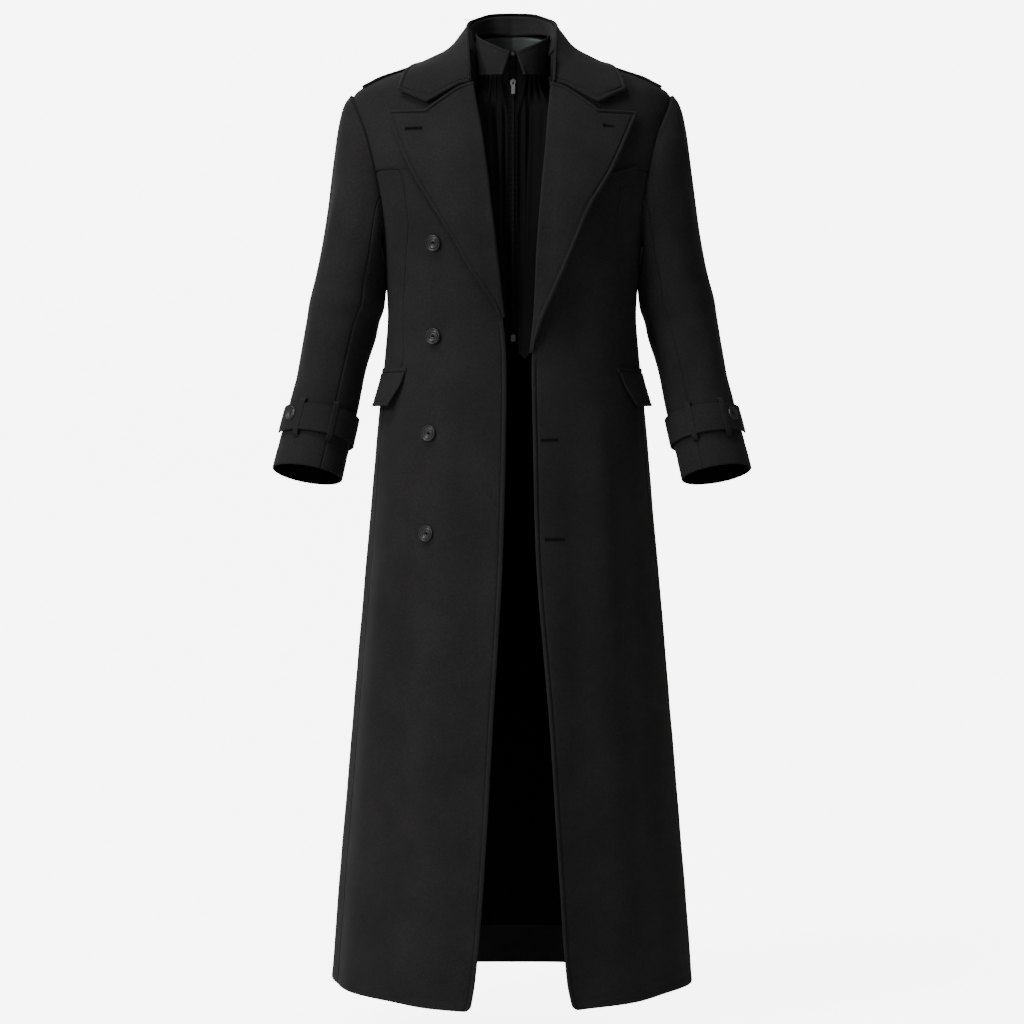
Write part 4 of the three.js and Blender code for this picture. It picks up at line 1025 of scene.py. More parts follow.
# Creases of a sleeve: side (0 is both), place down it, angle, half height, half width in degrees, rise and slant
CREASE_KEYS = ("side", "v", "t", "tall", "wide", "rise", "slant")
CREASES = [
    (0, -0.55, 62, 0.30, 16, 2.2, -20),
    (0, -0.40, 100, 0.30, 12, -2.0, -14),
    (0, -0.48, 20, 0.34, 15, -1.6, 10),
    (-1, -0.30, 44, 0.26, 11, 1.8, -16),
    (1, -0.62, 40, 0.26, 9, 2.8, -26),
    (1, -0.30, 70, 0.26, 12, -1.8, -20),
    (-1, 0.05, 52, 0.06, 44, -2.0, 0),
    (-1, 0.13, 82, 0.05, 40, 1.9, 0),
    (-1, 0.25, 60, 0.055, 42, -2.2, 0),
    (1, 0.03, 60, 0.06, 44, -2.2, 0),
    (1, 0.14, 40, 0.05, 36, 1.7, 0),
    (1, 0.22, 76, 0.055, 42, -2.0, 0),
    (0, 0.42, 48, 0.16, 15, 1.6, 12),
    (0, 0.50, 92, 0.16, 13, -1.6, 8),
    (0, 0.52, 8, 0.18, 15, -1.5, -8),
    (0, 0.10, 175, 0.10, 22, -2.4, 0),
    (0, 0.28, 190, 0.08, 24, 2.0, 0),
    (0, 0.0, -60, 0.34, 18, -2.2, 12),
    (0, 0.40, -75, 0.24, 17, 2.0, -10),
]


def tube_points(k, t):
    at = {name: float(column(SLEEVE_TABLE, "k", name, k)) for name in SLEEVE_KEYS[1:]}
    tilt, lean = math.radians(at["tilt"]), math.radians(at["lean"])
    across = np.array([math.cos(tilt), 0, math.sin(tilt)])
    down = np.array([math.sin(tilt) * math.cos(lean), -math.sin(lean), -math.cos(tilt) * math.cos(lean)])
    forward = np.cross(down, across)
    turn = np.radians(t)[:, None]
    centre = np.array([at["x"], at["y"], at["z"]])
    return centre + across * at["rx"] * np.cos(turn) + forward * at["ry"] * np.sin(turn)


def cap_points(m, t):
    """The sleeve head: from the armhole's edge at m = 0 to the first ring of the tube at m = 1."""
    sin, cos = np.sin(np.radians(t)), np.cos(np.radians(t))
    angle = 90 - np.where(sin > 0, ARMHOLE["front"], ARMHOLE["back"]) * sin
    z = ARMHOLE["mid_z"] + ARMHOLE["half"] * cos
    top = (1 + cos) / 2
    zero = np.zeros_like(t)
    a = form_point(angle, z) + form_normal(angle, z) * lerp(CAP["start"], 0.1, top)[:, None]
    a = a + np.array([CAP["start"], 0, 0])
    b = a + np.stack([lerp(1, CAP["out"], top), -sin * 10, -lerp(12, CAP["drop"], top)], axis=-1)
    d = tube_points(0, t)
    reach = lerp(lerp(14, CAP["top_reach"], top), CAP["front_reach"], np.abs(sin) * (1 - np.abs(cos)))
    c = d + stack(zero - CAP["inwards"], zero, zero + 0.97) * reach[:, None]
    q = 1 - m
    p = a * q ** 3 + b * 3 * q * q * m + c * 3 * q * m * m + d * m ** 3
    if m > 0:
        low = height_over(p) < CAP["clear"]
        p[low] = laid_on(p[low], CAP["clear"])
    return p


def under_armhole(t):
    """The seam allowance of a sleeve: a ring just inside the armhole, under the body's cloth."""
    sin, cos = np.sin(np.radians(t)), np.cos(np.radians(t))
    angle = 90 - np.where(sin > 0, ARMHOLE["front"], ARMHOLE["back"]) * ALLOWANCE["wider"] * sin
    z = ARMHOLE["mid_z"] + ARMHOLE["half"] * ALLOWANCE["wider"] * cos
    normal = form_normal(angle, z)
    return form_point(angle, z) - normal * ALLOWANCE["under"], normal


def sleeve_points(v, t):
    t = np.asarray(t, float)
    return cap_points(1 + v, t) if v < 0 else tube_points(v, t)


def sleeve_normals(v, t):
    around = sleeve_points(v, t + 2) - sleeve_points(v, t - 2)
    down = sleeve_points(min(1, v + 0.02), t) - sleeve_points(max(-1, v - 0.02), t)
    return unit(np.cross(around, down))


def creases(v, t, side):
    """The rise of the creases at places of a sleeve, faded out towards the armhole and the cuff."""
    rise = np.zeros_like(t)
    for row in CREASES:
        crease = dict(zip(CREASE_KEYS, row))
        if crease["side"] not in (0, side):
            continue
        dv = (v - crease["v"]) / crease["tall"]
        turn = (t - crease["t"] - crease["slant"] * dv + 180) % 360 - 180
        rise += crease["rise"] * np.exp(-dv * dv) * bell(turn, crease["wide"])
    return rise * float(smooth((v + 1) / CREASE_FADE["head"]) * smooth((1.0 - v) / CREASE_FADE["cuff"]))


def sleeve_at(v, t, height, side):
    """Points at a height over the creased cloth of a sleeve."""
    t = np.atleast_1d(np.asarray(t, float))
    rise = creases(v, t, SIDES[side]) + height
    return sleeve_points(v, t) + sleeve_normals(v, t) * np.broadcast_to(rise, t.shape)[:, None]


def sleeve_rows():
    cap = [-1, -0.992, -0.98, -0.96, -0.93] + list(np.linspace(-0.9, 0, 34))
    end = [0.985, 0.993, 0.997, 1.0]
    return np.array(cap + list(np.linspace(0, 0.97, 42))[1:] + end)


def make_sleeve(side):
    sign = SIDES[side]
    pieces = []
    gap = SLEEVE_SEAMS["gap"]
    parts = (("sleeve_top", SLEEVE_SEAMS["back"] + gap, SLEEVE_SEAMS["front"] - gap, SLEEVE_COLUMNS["top"]),
             ("sleeve_under", SLEEVE_SEAMS["front"] + gap, 360 + SLEEVE_SEAMS["back"] - gap, SLEEVE_COLUMNS["under"]))
    for name, start, end, count in parts:
        t = lerp(start, end, marks_for(1.0, SEAM_SHARES, SEAM_SHARES, count))
        hidden, normal = under_armhole(t)
        outer, inner = [hidden], [hidden - normal * ALLOWANCE["wall"]]
        for v in sleeve_rows():
            v = float(v)
            share, near, far = along_row(lambda s: sleeve_points(v, lerp(start, end, s)), SEAM_STEPS, SEAM_STEPS, count)
            t = lerp(start, end, share)
            p = sleeve_points(v, t)
            n = sleeve_normals(v, t)
            foot = (1 - v) * SLEEVE_DROP
            head = (1 + v) * SLEEVE_DROP
            ease = creases(v, t, sign) + uneven(p, 0.3)
            roll = 1.7 * float(bell(head - 9, 7.0)) * smooth(1.2 * np.cos(np.radians(t)) + 0.3)
            edge = float(turned_edge(foot))
            up = ease + seam_dip(near, 0.8) + seam_dip(far, 0.8) + edge + roll
            up = up - 0.9 * float(bell(head, 1.6)) - 0.4 * float(bell(foot - CUFF_STITCH, 1.2))
            outer.append(p + n * up[:, None])
            inner.append(p + n * (ease - edge - WOOL)[:, None])
        pieces.append(sew(f"{name}_{side}", mirrored(np.array(outer), sign), mirrored(np.array(inner), sign),
                          lining="satin"))
    return pieces


# Cuff straps: round the sleeve from the back to a tip on the outside, through two keeper loops
CUFF = {"top": 0.735, "foot": 0.855, "tip": 8.0, "end": 236.0, "wall": 2.4, "clear": 0.7, "button": 44.0}
CUFF_POINT = 10.0
KEEPERS = (61.0, 114.0)
KEEPER = {"wall": 1.6, "over": 1.6, "past": 0.014, "span": 9.0}


def make_cuff(side):
    sign = SIDES[side]
    height = CUFF["clear"] + CUFF["wall"]

    def up_the_side(r):
        return np.array([sleeve_points(float(k), np.array([90.0]))[0] for k in lerp(CUFF["foot"], CUFF["top"], r)])

    up = shares(up_the_side, EDGE_STEPS[:11], EDGE_STEPS[:11], 4, 40)
    along = shares(lambda s: sleeve_points(0.78, lerp(CUFF["tip"], CUFF["end"], s)), EDGE_STEPS[:12], (0, 1), 44)
    grid = []
    for r in up:
        cut = abs(float(r) - 0.5) * CUFF_POINT
        t = lerp(CUFF["tip"] + cut, CUFF["end"], along)
        grid.append(sleeve_at(float(lerp(CUFF["foot"], CUFF["top"], r)), t, height, side))
    grid = np.array(grid)
    relief, under = finished_edges(border_distance(grid, 0), edge_distance(grid, 1, False), SOFT_STITCH)
    outer, inner = shell_of(mirrored(grid, sign), relief, under, CUFF["wall"], sign)
    row = EDGE_STEPS.index(TOPSTITCH)
    for line in (outer[row, row:], outer[-row - 1, row:]):
        mark_stitches(f"cuff_strap_{side}", line)
    pieces = [sew(f"cuff_strap_{side}", outer, inner)]
    top = height + KEEPER["over"] + KEEPER["wall"]
    for index, turn in enumerate(KEEPERS):
        bend = ((2, CLEAR + KEEPER["wall"]), (1.2, top - 1.6), (0.5, top - 0.4))
        profile = [(CUFF["foot"] + k * KEEPER["past"], h) for k, h in bend]
        profile += [(lerp(CUFF["foot"], CUFF["top"], k), top) for k in np.linspace(0.05, 0.95, 12)]
        profile += [(CUFF["top"] - k * KEEPER["past"], h) for k, h in reversed(bend)]
        t = turn + KEEPER["span"] * (np.array([0, 0.04, 0.12, 0.3, 0.5, 0.7, 0.88, 0.96, 1]) - 0.5)
        grid = mirrored(np.array([sleeve_at(v, t, h, side) for v, h in profile]), sign)
        soft = 0.5 * turned_edge(border_distance(grid, 1))
        outer, inner = shell_of(grid, soft, -soft, KEEPER["wall"], -sign)
        pieces.append(sew(f"keeper_{side}_{index + 1}", outer, inner))
    return pieces


# Shoulder straps: from the sleeve seam to under the collar, along the top of the shoulder
STRAP = {"tip": 126.0, "root": 219.0, "half": 21.0, "wall": 2.6, "over": 0.55, "taper": 8.0, "point": 14.0,
         "point_half": 4.0}
STRAP_RISE = {"inset": 0.96, "tip": -25.0, "root": -66.0}


def make_shoulder_strap(side):
    sign = SIDES[side]
    along = marks_for(1.0, (0, 0.01, 0.03, 0.06, 0.1), (0, 0.01, 0.03), 22)
    fine = (0, 0.012, 0.03, 0.06, 0.1, 0.14, 0.18)
    across = marks_for(1.0, fine, fine, 8)
    grid = []
    for r in along:
        x = lerp(STRAP["tip"], STRAP["root"], float(r))
        narrow = float(clamp01((STRAP["tip"] + STRAP["point"] - x) / STRAP["point"]))
        half = lerp(STRAP["half"] - STRAP["taper"] * (1 - r), STRAP["point_half"], narrow ** 2)
        z = lerp(STRAP_RISE["tip"], STRAP_RISE["root"], float(r))
        guess = stack(x * STRAP_RISE["inset"], (across * 2 - 1) * half, z)
        grid.append(laid_on(guess, STRAP["over"] + STRAP["wall"]))
    grid = np.array(grid)
    edge = border_distance(grid, 1)
    relief = turned_edge(edge) + stitched(edge, 6.5, 0.5)
    outer, inner = shell_of(mirrored(grid, sign), relief, -turned_edge(edge), STRAP["wall"], -sign)
    return sew(f"shoulder_strap_{side}", outer, inner)


# Hip pockets: a jetted welt, and a flap below it that stands away from the side
POCKET = {"welt_top": -467.5, "welt_foot": -474.0, "welt_x": 149.0, "flap_top": -474.6, "flap_foot": -523.0,
          "back": 128.0, "wall": 1.8}
FLAP_TABLE = rows_of(("z", "x", "out"), [(-523, 168, 12), (-508, 161, 9.2), (-490, 154, 5.2), (-474, 150.5, 2.6)])


def make_pocket(side):
    sign = SIDES[side]

    def laid(z, x, s, height):
        angle = lerp(float(front_angle(x, z)), POCKET["back"], s)
        soft = folds(angle, z, sign)
        return form_point(angle, z) + form_normal(angle, z) * (height + soft)[:, None]

    across = marks_for(1.0, (0, 0.002, 0.006, 0.014, 0.03), (0, 0.002, 0.006), 34)
    rest = CLEAR + POCKET["wall"]
    fine = (0, 0.05, 0.14, 0.3)
    heights = marks_for(1.0, fine, fine, 3)
    grid = np.array([laid(lerp(POCKET["welt_foot"], POCKET["welt_top"], float(r)), POCKET["welt_x"], across,
                          np.full(across.shape, rest)) for r in heights])
    soft = 0.7 * turned_edge(border_distance(grid, 0))
    outer, inner = shell_of(mirrored(grid, sign), soft, -soft, POCKET["wall"], sign)
    welt = sew(f"pocket_welt_{side}", outer, inner)

    grid = []
    for z in steps_between(POCKET["flap_foot"], POCKET["flap_top"], 4.0, EDGE_STEPS[:13], (0, 0.8, 2.0)):
        x = float(column(FLAP_TABLE, "z", "x", z))
        out = float(column(FLAP_TABLE, "z", "out", z))
        curl = 1.1 * np.sin(across * 9.0 + 0.6) * float(smooth((POCKET["flap_top"] - z) / 45))
        grid.append(laid(float(z), x, across, CLEAR + out + curl))
    grid = np.array(grid)
    relief, under = finished_edges(edge_distance(grid, 0, False), edge_distance(grid, 1, False), SOFT_STITCH)
    outer, inner = shell_of(mirrored(grid, sign), relief, under, POCKET["wall"], sign)
    mark_stitches(f"pocket_flap_{side}", outer[EDGE_STEPS.index(TOPSTITCH), 6:])
    return [welt, sew(f"pocket_flap_{side}", outer, inner)]


# Chest pocket: a slanted welt on the wearer's left, partly under the lapel
CHEST = {"from": 98.0, "to": 178.0, "top": -180.0, "rise": 0.33, "height": 26.0, "wall": 1.2, "over": 0.5}


def make_chest_welt():
    fine = (0, 0.4, 1.0, 2.0, 3.2, 4.0, 4.8)
    across = marks_for(CHEST["to"] - CHEST["from"], (0, 2), (*fine, 7.0), 16) + CHEST["from"]
    up = marks_for(CHEST["height"], fine[:4], fine, 4)
    grid = []
    for d in up:
        top = CHEST["top"] - CHEST["rise"] * (CHEST["to"] - across)
        grid.append(on_front(across, top - CHEST["height"] + d, CHEST["over"] + CHEST["wall"], 1))
    grid = np.array(grid)
    edge = np.minimum(edge_distance(grid, 0, True), edge_distance(grid, 1, True))
    soft = 0.5 * turned_edge(edge)
    outer, inner = shell_of(grid, soft + stitched(edge, 4.0, 0.3), -soft, CHEST["wall"], 1)
    return sew("chest_welt", outer, inner)


# Buttons: a turned disc with a raised rim, a dished middle with a fish-eye slot, and its sewing thread
FRONT_BUTTONS = [(-110, -293), (-110.5, -424), (-116, -561), (-119, -701)]
BUTTON_SIDES = 48
BUTTON_PROFILE = [(0, 0), (0.8, 0), (0.92, 0.08), (1, 0.4), (1, 0.6), (0.97, 0.86), (0.92, 1), (0.87, 0.93),
                  (0.82, 0.66), (0.77, 0.56), (0.72, 0.64), (0.67, 0.86), (0.61, 0.96), (0.55, 0.86), (0.48, 0.6),
                  (0.4, 0.48), (0.34, 0.56), (0.29, 0.7), (0.24, 0.58), (0.17, 0.3), (0.08, 0.24), (0, 0.22)]


def button_profile(size):
    r, h = size.radius / MM, size.height / MM
    return [(r * wide, h * high) for wide, high in BUTTON_PROFILE]


def turned_disc(profile, point, normal):
    """A lathe form standing on a point along a normal; returns points and faces."""
    axis = Vector(normal).to_track_quat("Z", "Y").to_matrix()
    turn = np.linspace(0, 2 * math.pi, BUTTON_SIDES, endpoint=False)
    rows = [np.stack([r * np.cos(turn), r * np.sin(turn), np.full(turn.shape, h)], axis=-1) for r, h in profile[1:-1]]
    verts = np.concatenate([[[0, 0, profile[0][1]]]] + rows + [[[0, 0, profile[-1][1]]]])
    faces = grid_faces(len(rows), BUTTON_SIDES, 1, True)
    last = len(verts) - 1
    for j in range(BUTTON_SIDES):
        k = (j + 1) % BUTTON_SIDES
        faces.append((0, 1 + k, 1 + j))
        faces.append((last, last - BUTTON_SIDES + j, last - BUTTON_SIDES + k))
    return verts @ np.array(axis).T + np.asarray(point), faces


def capsule(a, b, radius, sides=8, rings=3):
    """A short round-ended rod between two points; returns points and faces."""
    a, b = np.asarray(a, float), np.asarray(b, float)
    along = unit(b - a)
    side = unit(np.cross(along, [0.31, 0.2, 0.93]))
    up = np.cross(along, side)
    turn = np.linspace(0, 2 * math.pi, sides, endpoint=False)
    round_ = np.cos(turn)[:, None] * side + np.sin(turn)[:, None] * up
    rows = []
    for end, sign in ((a, -1), (b, 1)):
        order = range(1, rings + 1) if sign < 0 else range(rings, 0, -1)
        for k in order:
            q = k / rings * math.pi / 2
            rows.append(end + along * sign * radius * math.cos(q) + round_ * radius * math.sin(q))
    verts = np.concatenate([[a - along * radius]] + rows + [[b + along * radius]])
    faces = grid_faces(len(rows), sides, 1, True)
    last = len(verts) - 1
    for j in range(sides):
        k = (j + 1) % sides
        faces += [(0, 1 + k, 1 + j), (last, last - sides + j, last - sides + k)]
    return verts, faces


def joined(parts):
    """Several (points, faces) parts as one."""
    verts, faces, start = [], [], 0
    for points, polygons in parts:
        verts.append(points)
        faces += [tuple(i + start for i in polygon) for polygon in polygons]
        start += len(points)
    return np.concatenate(verts), faces


def make_button(name, size, point, normal, rests):
    made = finishes()
    point, normal = np.asarray(point, float), unit(np.asarray(normal, float))
    disc = turned_disc(button_profile(size), point, normal)
    button = mesh_piece(name, *disc, [made["button"]])
    finish_piece(button, [name])
    across = unit(np.cross(normal, [0.2, 0.1, 1.0]))
    height = size.height / MM
    parts = []
    for k, lift in ((-0.5, 0.36), (0.5, 0.36), (0.0, 0.42)):
        middle = point + normal * height * lift + np.cross(normal, across) * k * 1.0
        parts.append(capsule(middle - across * 1.9, middle + across * 1.9, 0.4))
    thread = mesh_piece(f"{name}_thread", *joined(parts), [made["thread"]])
    return [button, finish_piece(thread)]


def make_front_buttons(size):
    pieces = []
    for index, (x, z) in enumerate(FRONT_BUTTONS):
        p = on_front(abs(x), z, size.seat / MM, -1)
        n = unit(slope_of(p))
        pieces += make_button(f"front_button_{index + 1}", size, mirrored(p, -1), mirrored(n, -1), "front_right")
    return pieces


def make_cuff_buttons(size):
    pieces = []
    v = lerp(CUFF["foot"], CUFF["top"], 0.6)
    for side, sign in SIDES.items():
        height = CUFF["clear"] + CUFF["wall"] + size.seat / MM
        p = sleeve_at(v, CUFF["button"], height, side)[0]
        n = sleeve_normals(v, np.array([CUFF["button"]]))[0]
        pieces += make_button(f"cuff_button_{side}", size, mirrored(p, sign), mirrored(n, sign), f"cuff_strap_{side}")
    return pieces


# Buttonholes: on the wearer's left front, and one short one on each lapel, as places in the front view
FRONT_HOLES = [((41, -570.5), (63.5, -569.5)), ((46, -708), (73, -707.5))]
LAPEL_HOLES = {"right": ((-148.5, -131.5), (-126, -131)), "left": ((127, -127), (149, -131))}
LAPEL_HOLE_LIFT = 7.4
HOLE = {"half": 1.5, "count": 15}


def make_buttonhole(name, start, end, lift, side):
    """A buttonhole as two rows of close stitches round its slit, with a bar at each end."""
    made = finishes()
    sign = SIDES[side]
    parts = []

    def place(share, offset):
        x = lerp(start[0], end[0], share) * sign
        z = lerp(start[1], end[1], share) + offset
        return mirrored(on_front(x, z, lift, sign), sign)

    for k in range(HOLE["count"]):
        share = k / (HOLE["count"] - 1)
        for row in (-1, 1):
            wide = 1 + 0.5 * float(bell(share - 0.0, 0.07))
            parts.append(capsule(place(share, row * 0.25), place(share, row * HOLE["half"] * wide), 0.62, 6, 2))
    for share in (0, 1):
        parts.append(capsule(place(share, -HOLE["half"]), place(share, HOLE["half"]), 0.6, 6, 2))
    piece = mesh_piece(name, *joined(parts), [made["thread"]])
    return finish_piece(piece)


# Inner bib: a stand collar in two halves, gathered panels hung from it and from the fronts, and a zip
BIB = {"middle": 1.5, "collar_wall": 2.0, "panel_wall": 1.2, "tape_half": 6.5, "tape_gap": 0.9, "zip_top": -14.0,
       "zip_foot": -436.0}
BIB_COLLAR = {"centre_y": -12.0, "rx": 54.0, "ry": 58.0, "from": 4.0, "to": 84.0, "top_front": -17.0, "top_back": 15.0,
              "foot": -50.0, "rise": 4.0, "lean": 11.0}
BIB_TOP = -50.25
BIB_TOP_RISE = 3.25
TAPE_SETBACK = 3.0
BIB_FOOT = {"right": rows_of(("s", "z"), [(0, -425), (1, -420)]),
            "left": rows_of(("s", "z"), [(0, -446), (0.25, -455), (1, -415)])}
GATHER = {"depth": 2.2, "folds": 5, "sink": 14.0, "sinks_over": 30.0, "under": 24.0, "neck_drop": 55.0,
          "neck_reach": 52.0, "parted": 9.0}

# Small gathers under the bib collar: place across the panel, reach down, width as a share of the panel, and rise
PLEATS = [(0.06, 60, 0.035, 1.6), (0.15, 95, 0.04, -1.7), (0.24, 70, 0.04, 1.8), (0.33, 120, 0.045, -1.7),
          (0.42, 80, 0.04, 1.9), (0.52, 130, 0.05, -1.9), (0.61, 90, 0.04, 1.7), (0.7, 110, 0.045, -1.6),
          (0.8, 75, 0.04, 1.6), (0.9, 90, 0.04, -1.4)]


def make_bib_collar(side):
    sign = SIDES[side]
    across = marks_for(1.0, (0, 0.004, 0.01, 0.02, 0.05, 0.09, 0.1, 0.11), (0, 0.02), 26)
    up = marks_for(1.0, (0, 0.01, 0.03, 0.07), (0, 0.008, 0.02, 0.04, 0.09, 0.15, 0.17, 0.19), 7)
    grid = []
    for r in up:
        turn = np.radians(lerp(BIB_COLLAR["from"], BIB_COLLAR["to"], across))
        lean = BIB_COLLAR["lean"] * (1 - r) * (1 - smooth(across * 4))
        x = BIB_COLLAR["rx"] * np.sin(turn) + lean
        y = BIB_COLLAR["centre_y"] - BIB_COLLAR["ry"] * np.cos(turn)
        z = lerp(BIB_COLLAR["foot"] + BIB_COLLAR["rise"] * across,
                 lerp(BIB_COLLAR["top_front"], BIB_COLLAR["top_back"], across), r)
        grid.append(stack(x + sign * BIB["middle"], y, z))
    grid = np.array(grid)
    top, front = edge_distance(grid, 0, True), edge_distance(grid, 1, False)
    edge = 0.9 * (turned_edge(top) + turned_edge(front))
    relief = edge + stitched(np.minimum(top, front), 6.0, 0.5) + uneven(grid, 0.5)
    outer, inner = shell_of(mirrored(grid, sign), relief, -edge, BIB["collar_wall"], sign)
    return sew(f"bib_collar_{side}", outer, inner)


def bib_line(x):
    """The depth of the bib collar's foot at a place across the neck."""
    return BIB_COLLAR["centre_y"] - BIB_COLLAR["ry"] * np.sqrt(
        np.maximum(0, 1 - np.minimum(1, np.abs(x) / BIB_COLLAR["rx"]) ** 2))


def make_bib_panel(side):
    sign = SIDES[side]
    s = marks_for(1.0, (0, 0.008, 0.02, 0.05), (0, 0.03), 84)
    foot = column(BIB_FOOT[side], "s", "z", s)
    top = BIB_TOP + BIB_TOP_RISE * s
    grid = []
    for r in marks_for(1.0, (0, 0.003, 0.008, 0.016, 0.03), (0, 0.002, 0.006, 0.012, 0.03, 0.05), 66):
        z = lerp(top, foot, float(r))
        opening = np.abs(column(OPENING_TABLE, "z", side, z))
        neck = smooth(1 - (BIB_TOP - z) / GATHER["neck_drop"])
        near = BIB["middle"] * sign + BIB["tape_half"] + GATHER["parted"] * neck + BIB["tape_gap"]
        x = lerp(near, lerp(opening + GATHER["under"], GATHER["neck_reach"], neck), s)
        free = clamp01((opening - x) / GATHER["sinks_over"])
        wave = np.sin(s * GATHER["folds"] * 2 * np.pi) * GATHER["depth"] * lerp(1, 0.35, float(r)) * free * (1 - neck)
        below = top - z
        fine = np.zeros_like(s)
        for place, reach, wide, rise in PLEATS:
            fade = smooth(below / 5) * smooth((reach - below) / reach)
            fine += rise * bell(s - place - 0.05 * below / 100, wide * (1 + below / 160)) * fade
        sag = 0.9 * np.sin(z * 0.035 + s * 5) * free * smooth(below / 60)
        sink = WOOL + BIB["panel_wall"] + GATHER["sink"] * smooth(free) + wave + GATHER["depth"] * free
        p = on_front(x, z, -(sink - np.clip(fine + sag, -2.5, 2.5) * clamp01(free + neck)))
        seat = stack(x, bib_line(x - sign * BIB["middle"]) + 0.2 - np.minimum(0.6, fine), z)
        grid.append(lerp(p, seat, neck[:, None]))
    grid = np.array(grid)
    edge = np.minimum(edge_distance(grid, 1, False), edge_distance(grid, 0, True))
    soft = 0.45 * turned_edge(edge)
    outer, inner = shell_of(mirrored(grid, sign), soft + stitched(edge, 4.5, 0.35), -soft, BIB["panel_wall"], -sign)
    return sew(f"bib_panel_{side}", outer, inner, cloth="satin")


def zip_depth(z):
    neck = float(clamp01(1 - (BIB_TOP - z) / 60))
    sink = WOOL + BIB["panel_wall"] + GATHER["sink"] + GATHER["depth"]
    return float(on_front(BIB["middle"], min(z, BIB_TOP), -sink - 4 * neck)[..., 1])


def tape_depth(z):
    return zip_depth(z) + (TAPE_SETBACK * float(smooth((z - BIB_TOP) / 4)) if z > BIB_TOP else 0)


def make_zip_tape(side):
    sign = SIDES[side]
    across = np.array([0.2, 0.6, 1.2, 2.0, 3.4, 5.0, 5.9, 6.3, 6.5])
    grid = [[(sign * x + BIB["middle"], tape_depth(z) - 0.35 * float(bell(x - 0.4, 0.7)), z) for x in across]
            for z in steps_between(BIB["zip_top"], BIB["zip_foot"], 4.0)]
    outer = np.array(grid)
    inner = outer + np.array([0, LINING, 0])
    return sew(f"zip_tape_{side}", outer, inner, cloth="tape")


# Zip slider with its bridge, the pull that swings on the bridge, and the box at the foot
SLIDER = {"z": -62.0, "width": 9.0, "depth": 3.0, "height": 10.0, "gap": 0.7}
ZIP_BOX = {"z": -427.0, "width": 7.0, "depth": 2.4, "height": 9.0}
HOOK = {"z": -18.0, "width": 5.0, "depth": 1.2, "height": 4.0}
BRIDGE = {"width": 1.6, "height": 8.0, "rise": 4.4, "bar": 1.2}
PULL = {"width": 5.4, "length": 22.0, "wall": 1.2, "hole_width": 2.6, "hole_top": 0.75, "hole_foot": -5.6,
        "bar_foot": -0.55}


def rounded(width, low, high, radius, per_corner=6):
    """A rounded rectangle across x, from low to high in z; the same count of points for any size."""
    points = []
    radius = min(radius, width / 2, (high - low) / 2)
    for cx, cz, start in ((1, 1, 0), (-1, 1, 90), (-1, -1, 180), (1, -1, 270)):
        for k in range(per_corner):
            turn = math.radians(start + 90 * k / (per_corner - 1))
            z_mid = high - radius if cz > 0 else low + radius
            points.append((cx * (width / 2 - radius) + radius * math.cos(turn), z_mid + radius * math.sin(turn)))
    return np.array(points)


def ring_plate(outline, hole, depth, bevel=0.25):
    """A plate with a hole and softened edges: points (x, y, z), its front at y = -depth."""
    middle = outline.mean(axis=0)
    inset = outline + (middle - outline) * (bevel / np.maximum(np.linalg.norm(outline - middle, axis=1), 1))[:, None]
    rows = [(hole, 0), (inset, 0), (outline, -bevel), (outline, -depth + bevel), (inset, -depth), (hole, -depth)]
    verts = np.concatenate([stack(ring_[:, 0], y, ring_[:, 1]) for ring_, y in rows])
    sides = len(outline)
    faces = grid_faces(len(rows), sides, 0, True)
    last = (len(rows) - 1) * sides
    faces += [(last + j, last + (j + 1) % sides, (j + 1) % sides, j) for j in range(sides)]
    return verts, faces


def block(outline, depth, bevel=0.5):
    """A solid plate with softened edges, its front at y = -depth."""
    middle = outline.mean(axis=0)
    rows = []
    for inset, y in ((bevel, 0), (bevel * 0.3, -bevel * 0.3), (0, -bevel), (0, -depth + bevel),
                     (bevel * 0.3, -depth + bevel * 0.3), (bevel, -depth)):
        pulled = outline + (middle - outline) * (inset / np.maximum(np.linalg.norm(outline - middle, axis=1), 1))[:, None]
        rows.append(stack(pulled[:, 0], y, pulled[:, 1]))
    sides = len(outline)
    faces = grid_faces(len(rows), sides, 0, True)
    faces += [tuple(range(sides)), tuple(range((len(rows) - 1) * sides, len(rows) * sides))[::-1]]
    return np.concatenate(rows), faces


def slope_frame(z, reach):
    """Places points of a frame that leans with the tape at a height."""
    lean = math.atan2(zip_depth(z + reach) - zip_depth(z - reach), 2 * reach)
    turn = np.array(Matrix.Rotation(-lean, 3, "X"))
    origin = np.array([BIB["middle"], zip_depth(z), z])
    return lambda points: points @ turn.T + origin


def metal_piece(name, verts, faces, nodes, body=BODY):
    piece = mesh_piece(name, verts, faces, [finishes()["metal"]], smooth_faces=False)
    return finish_piece(piece, nodes, body=body)


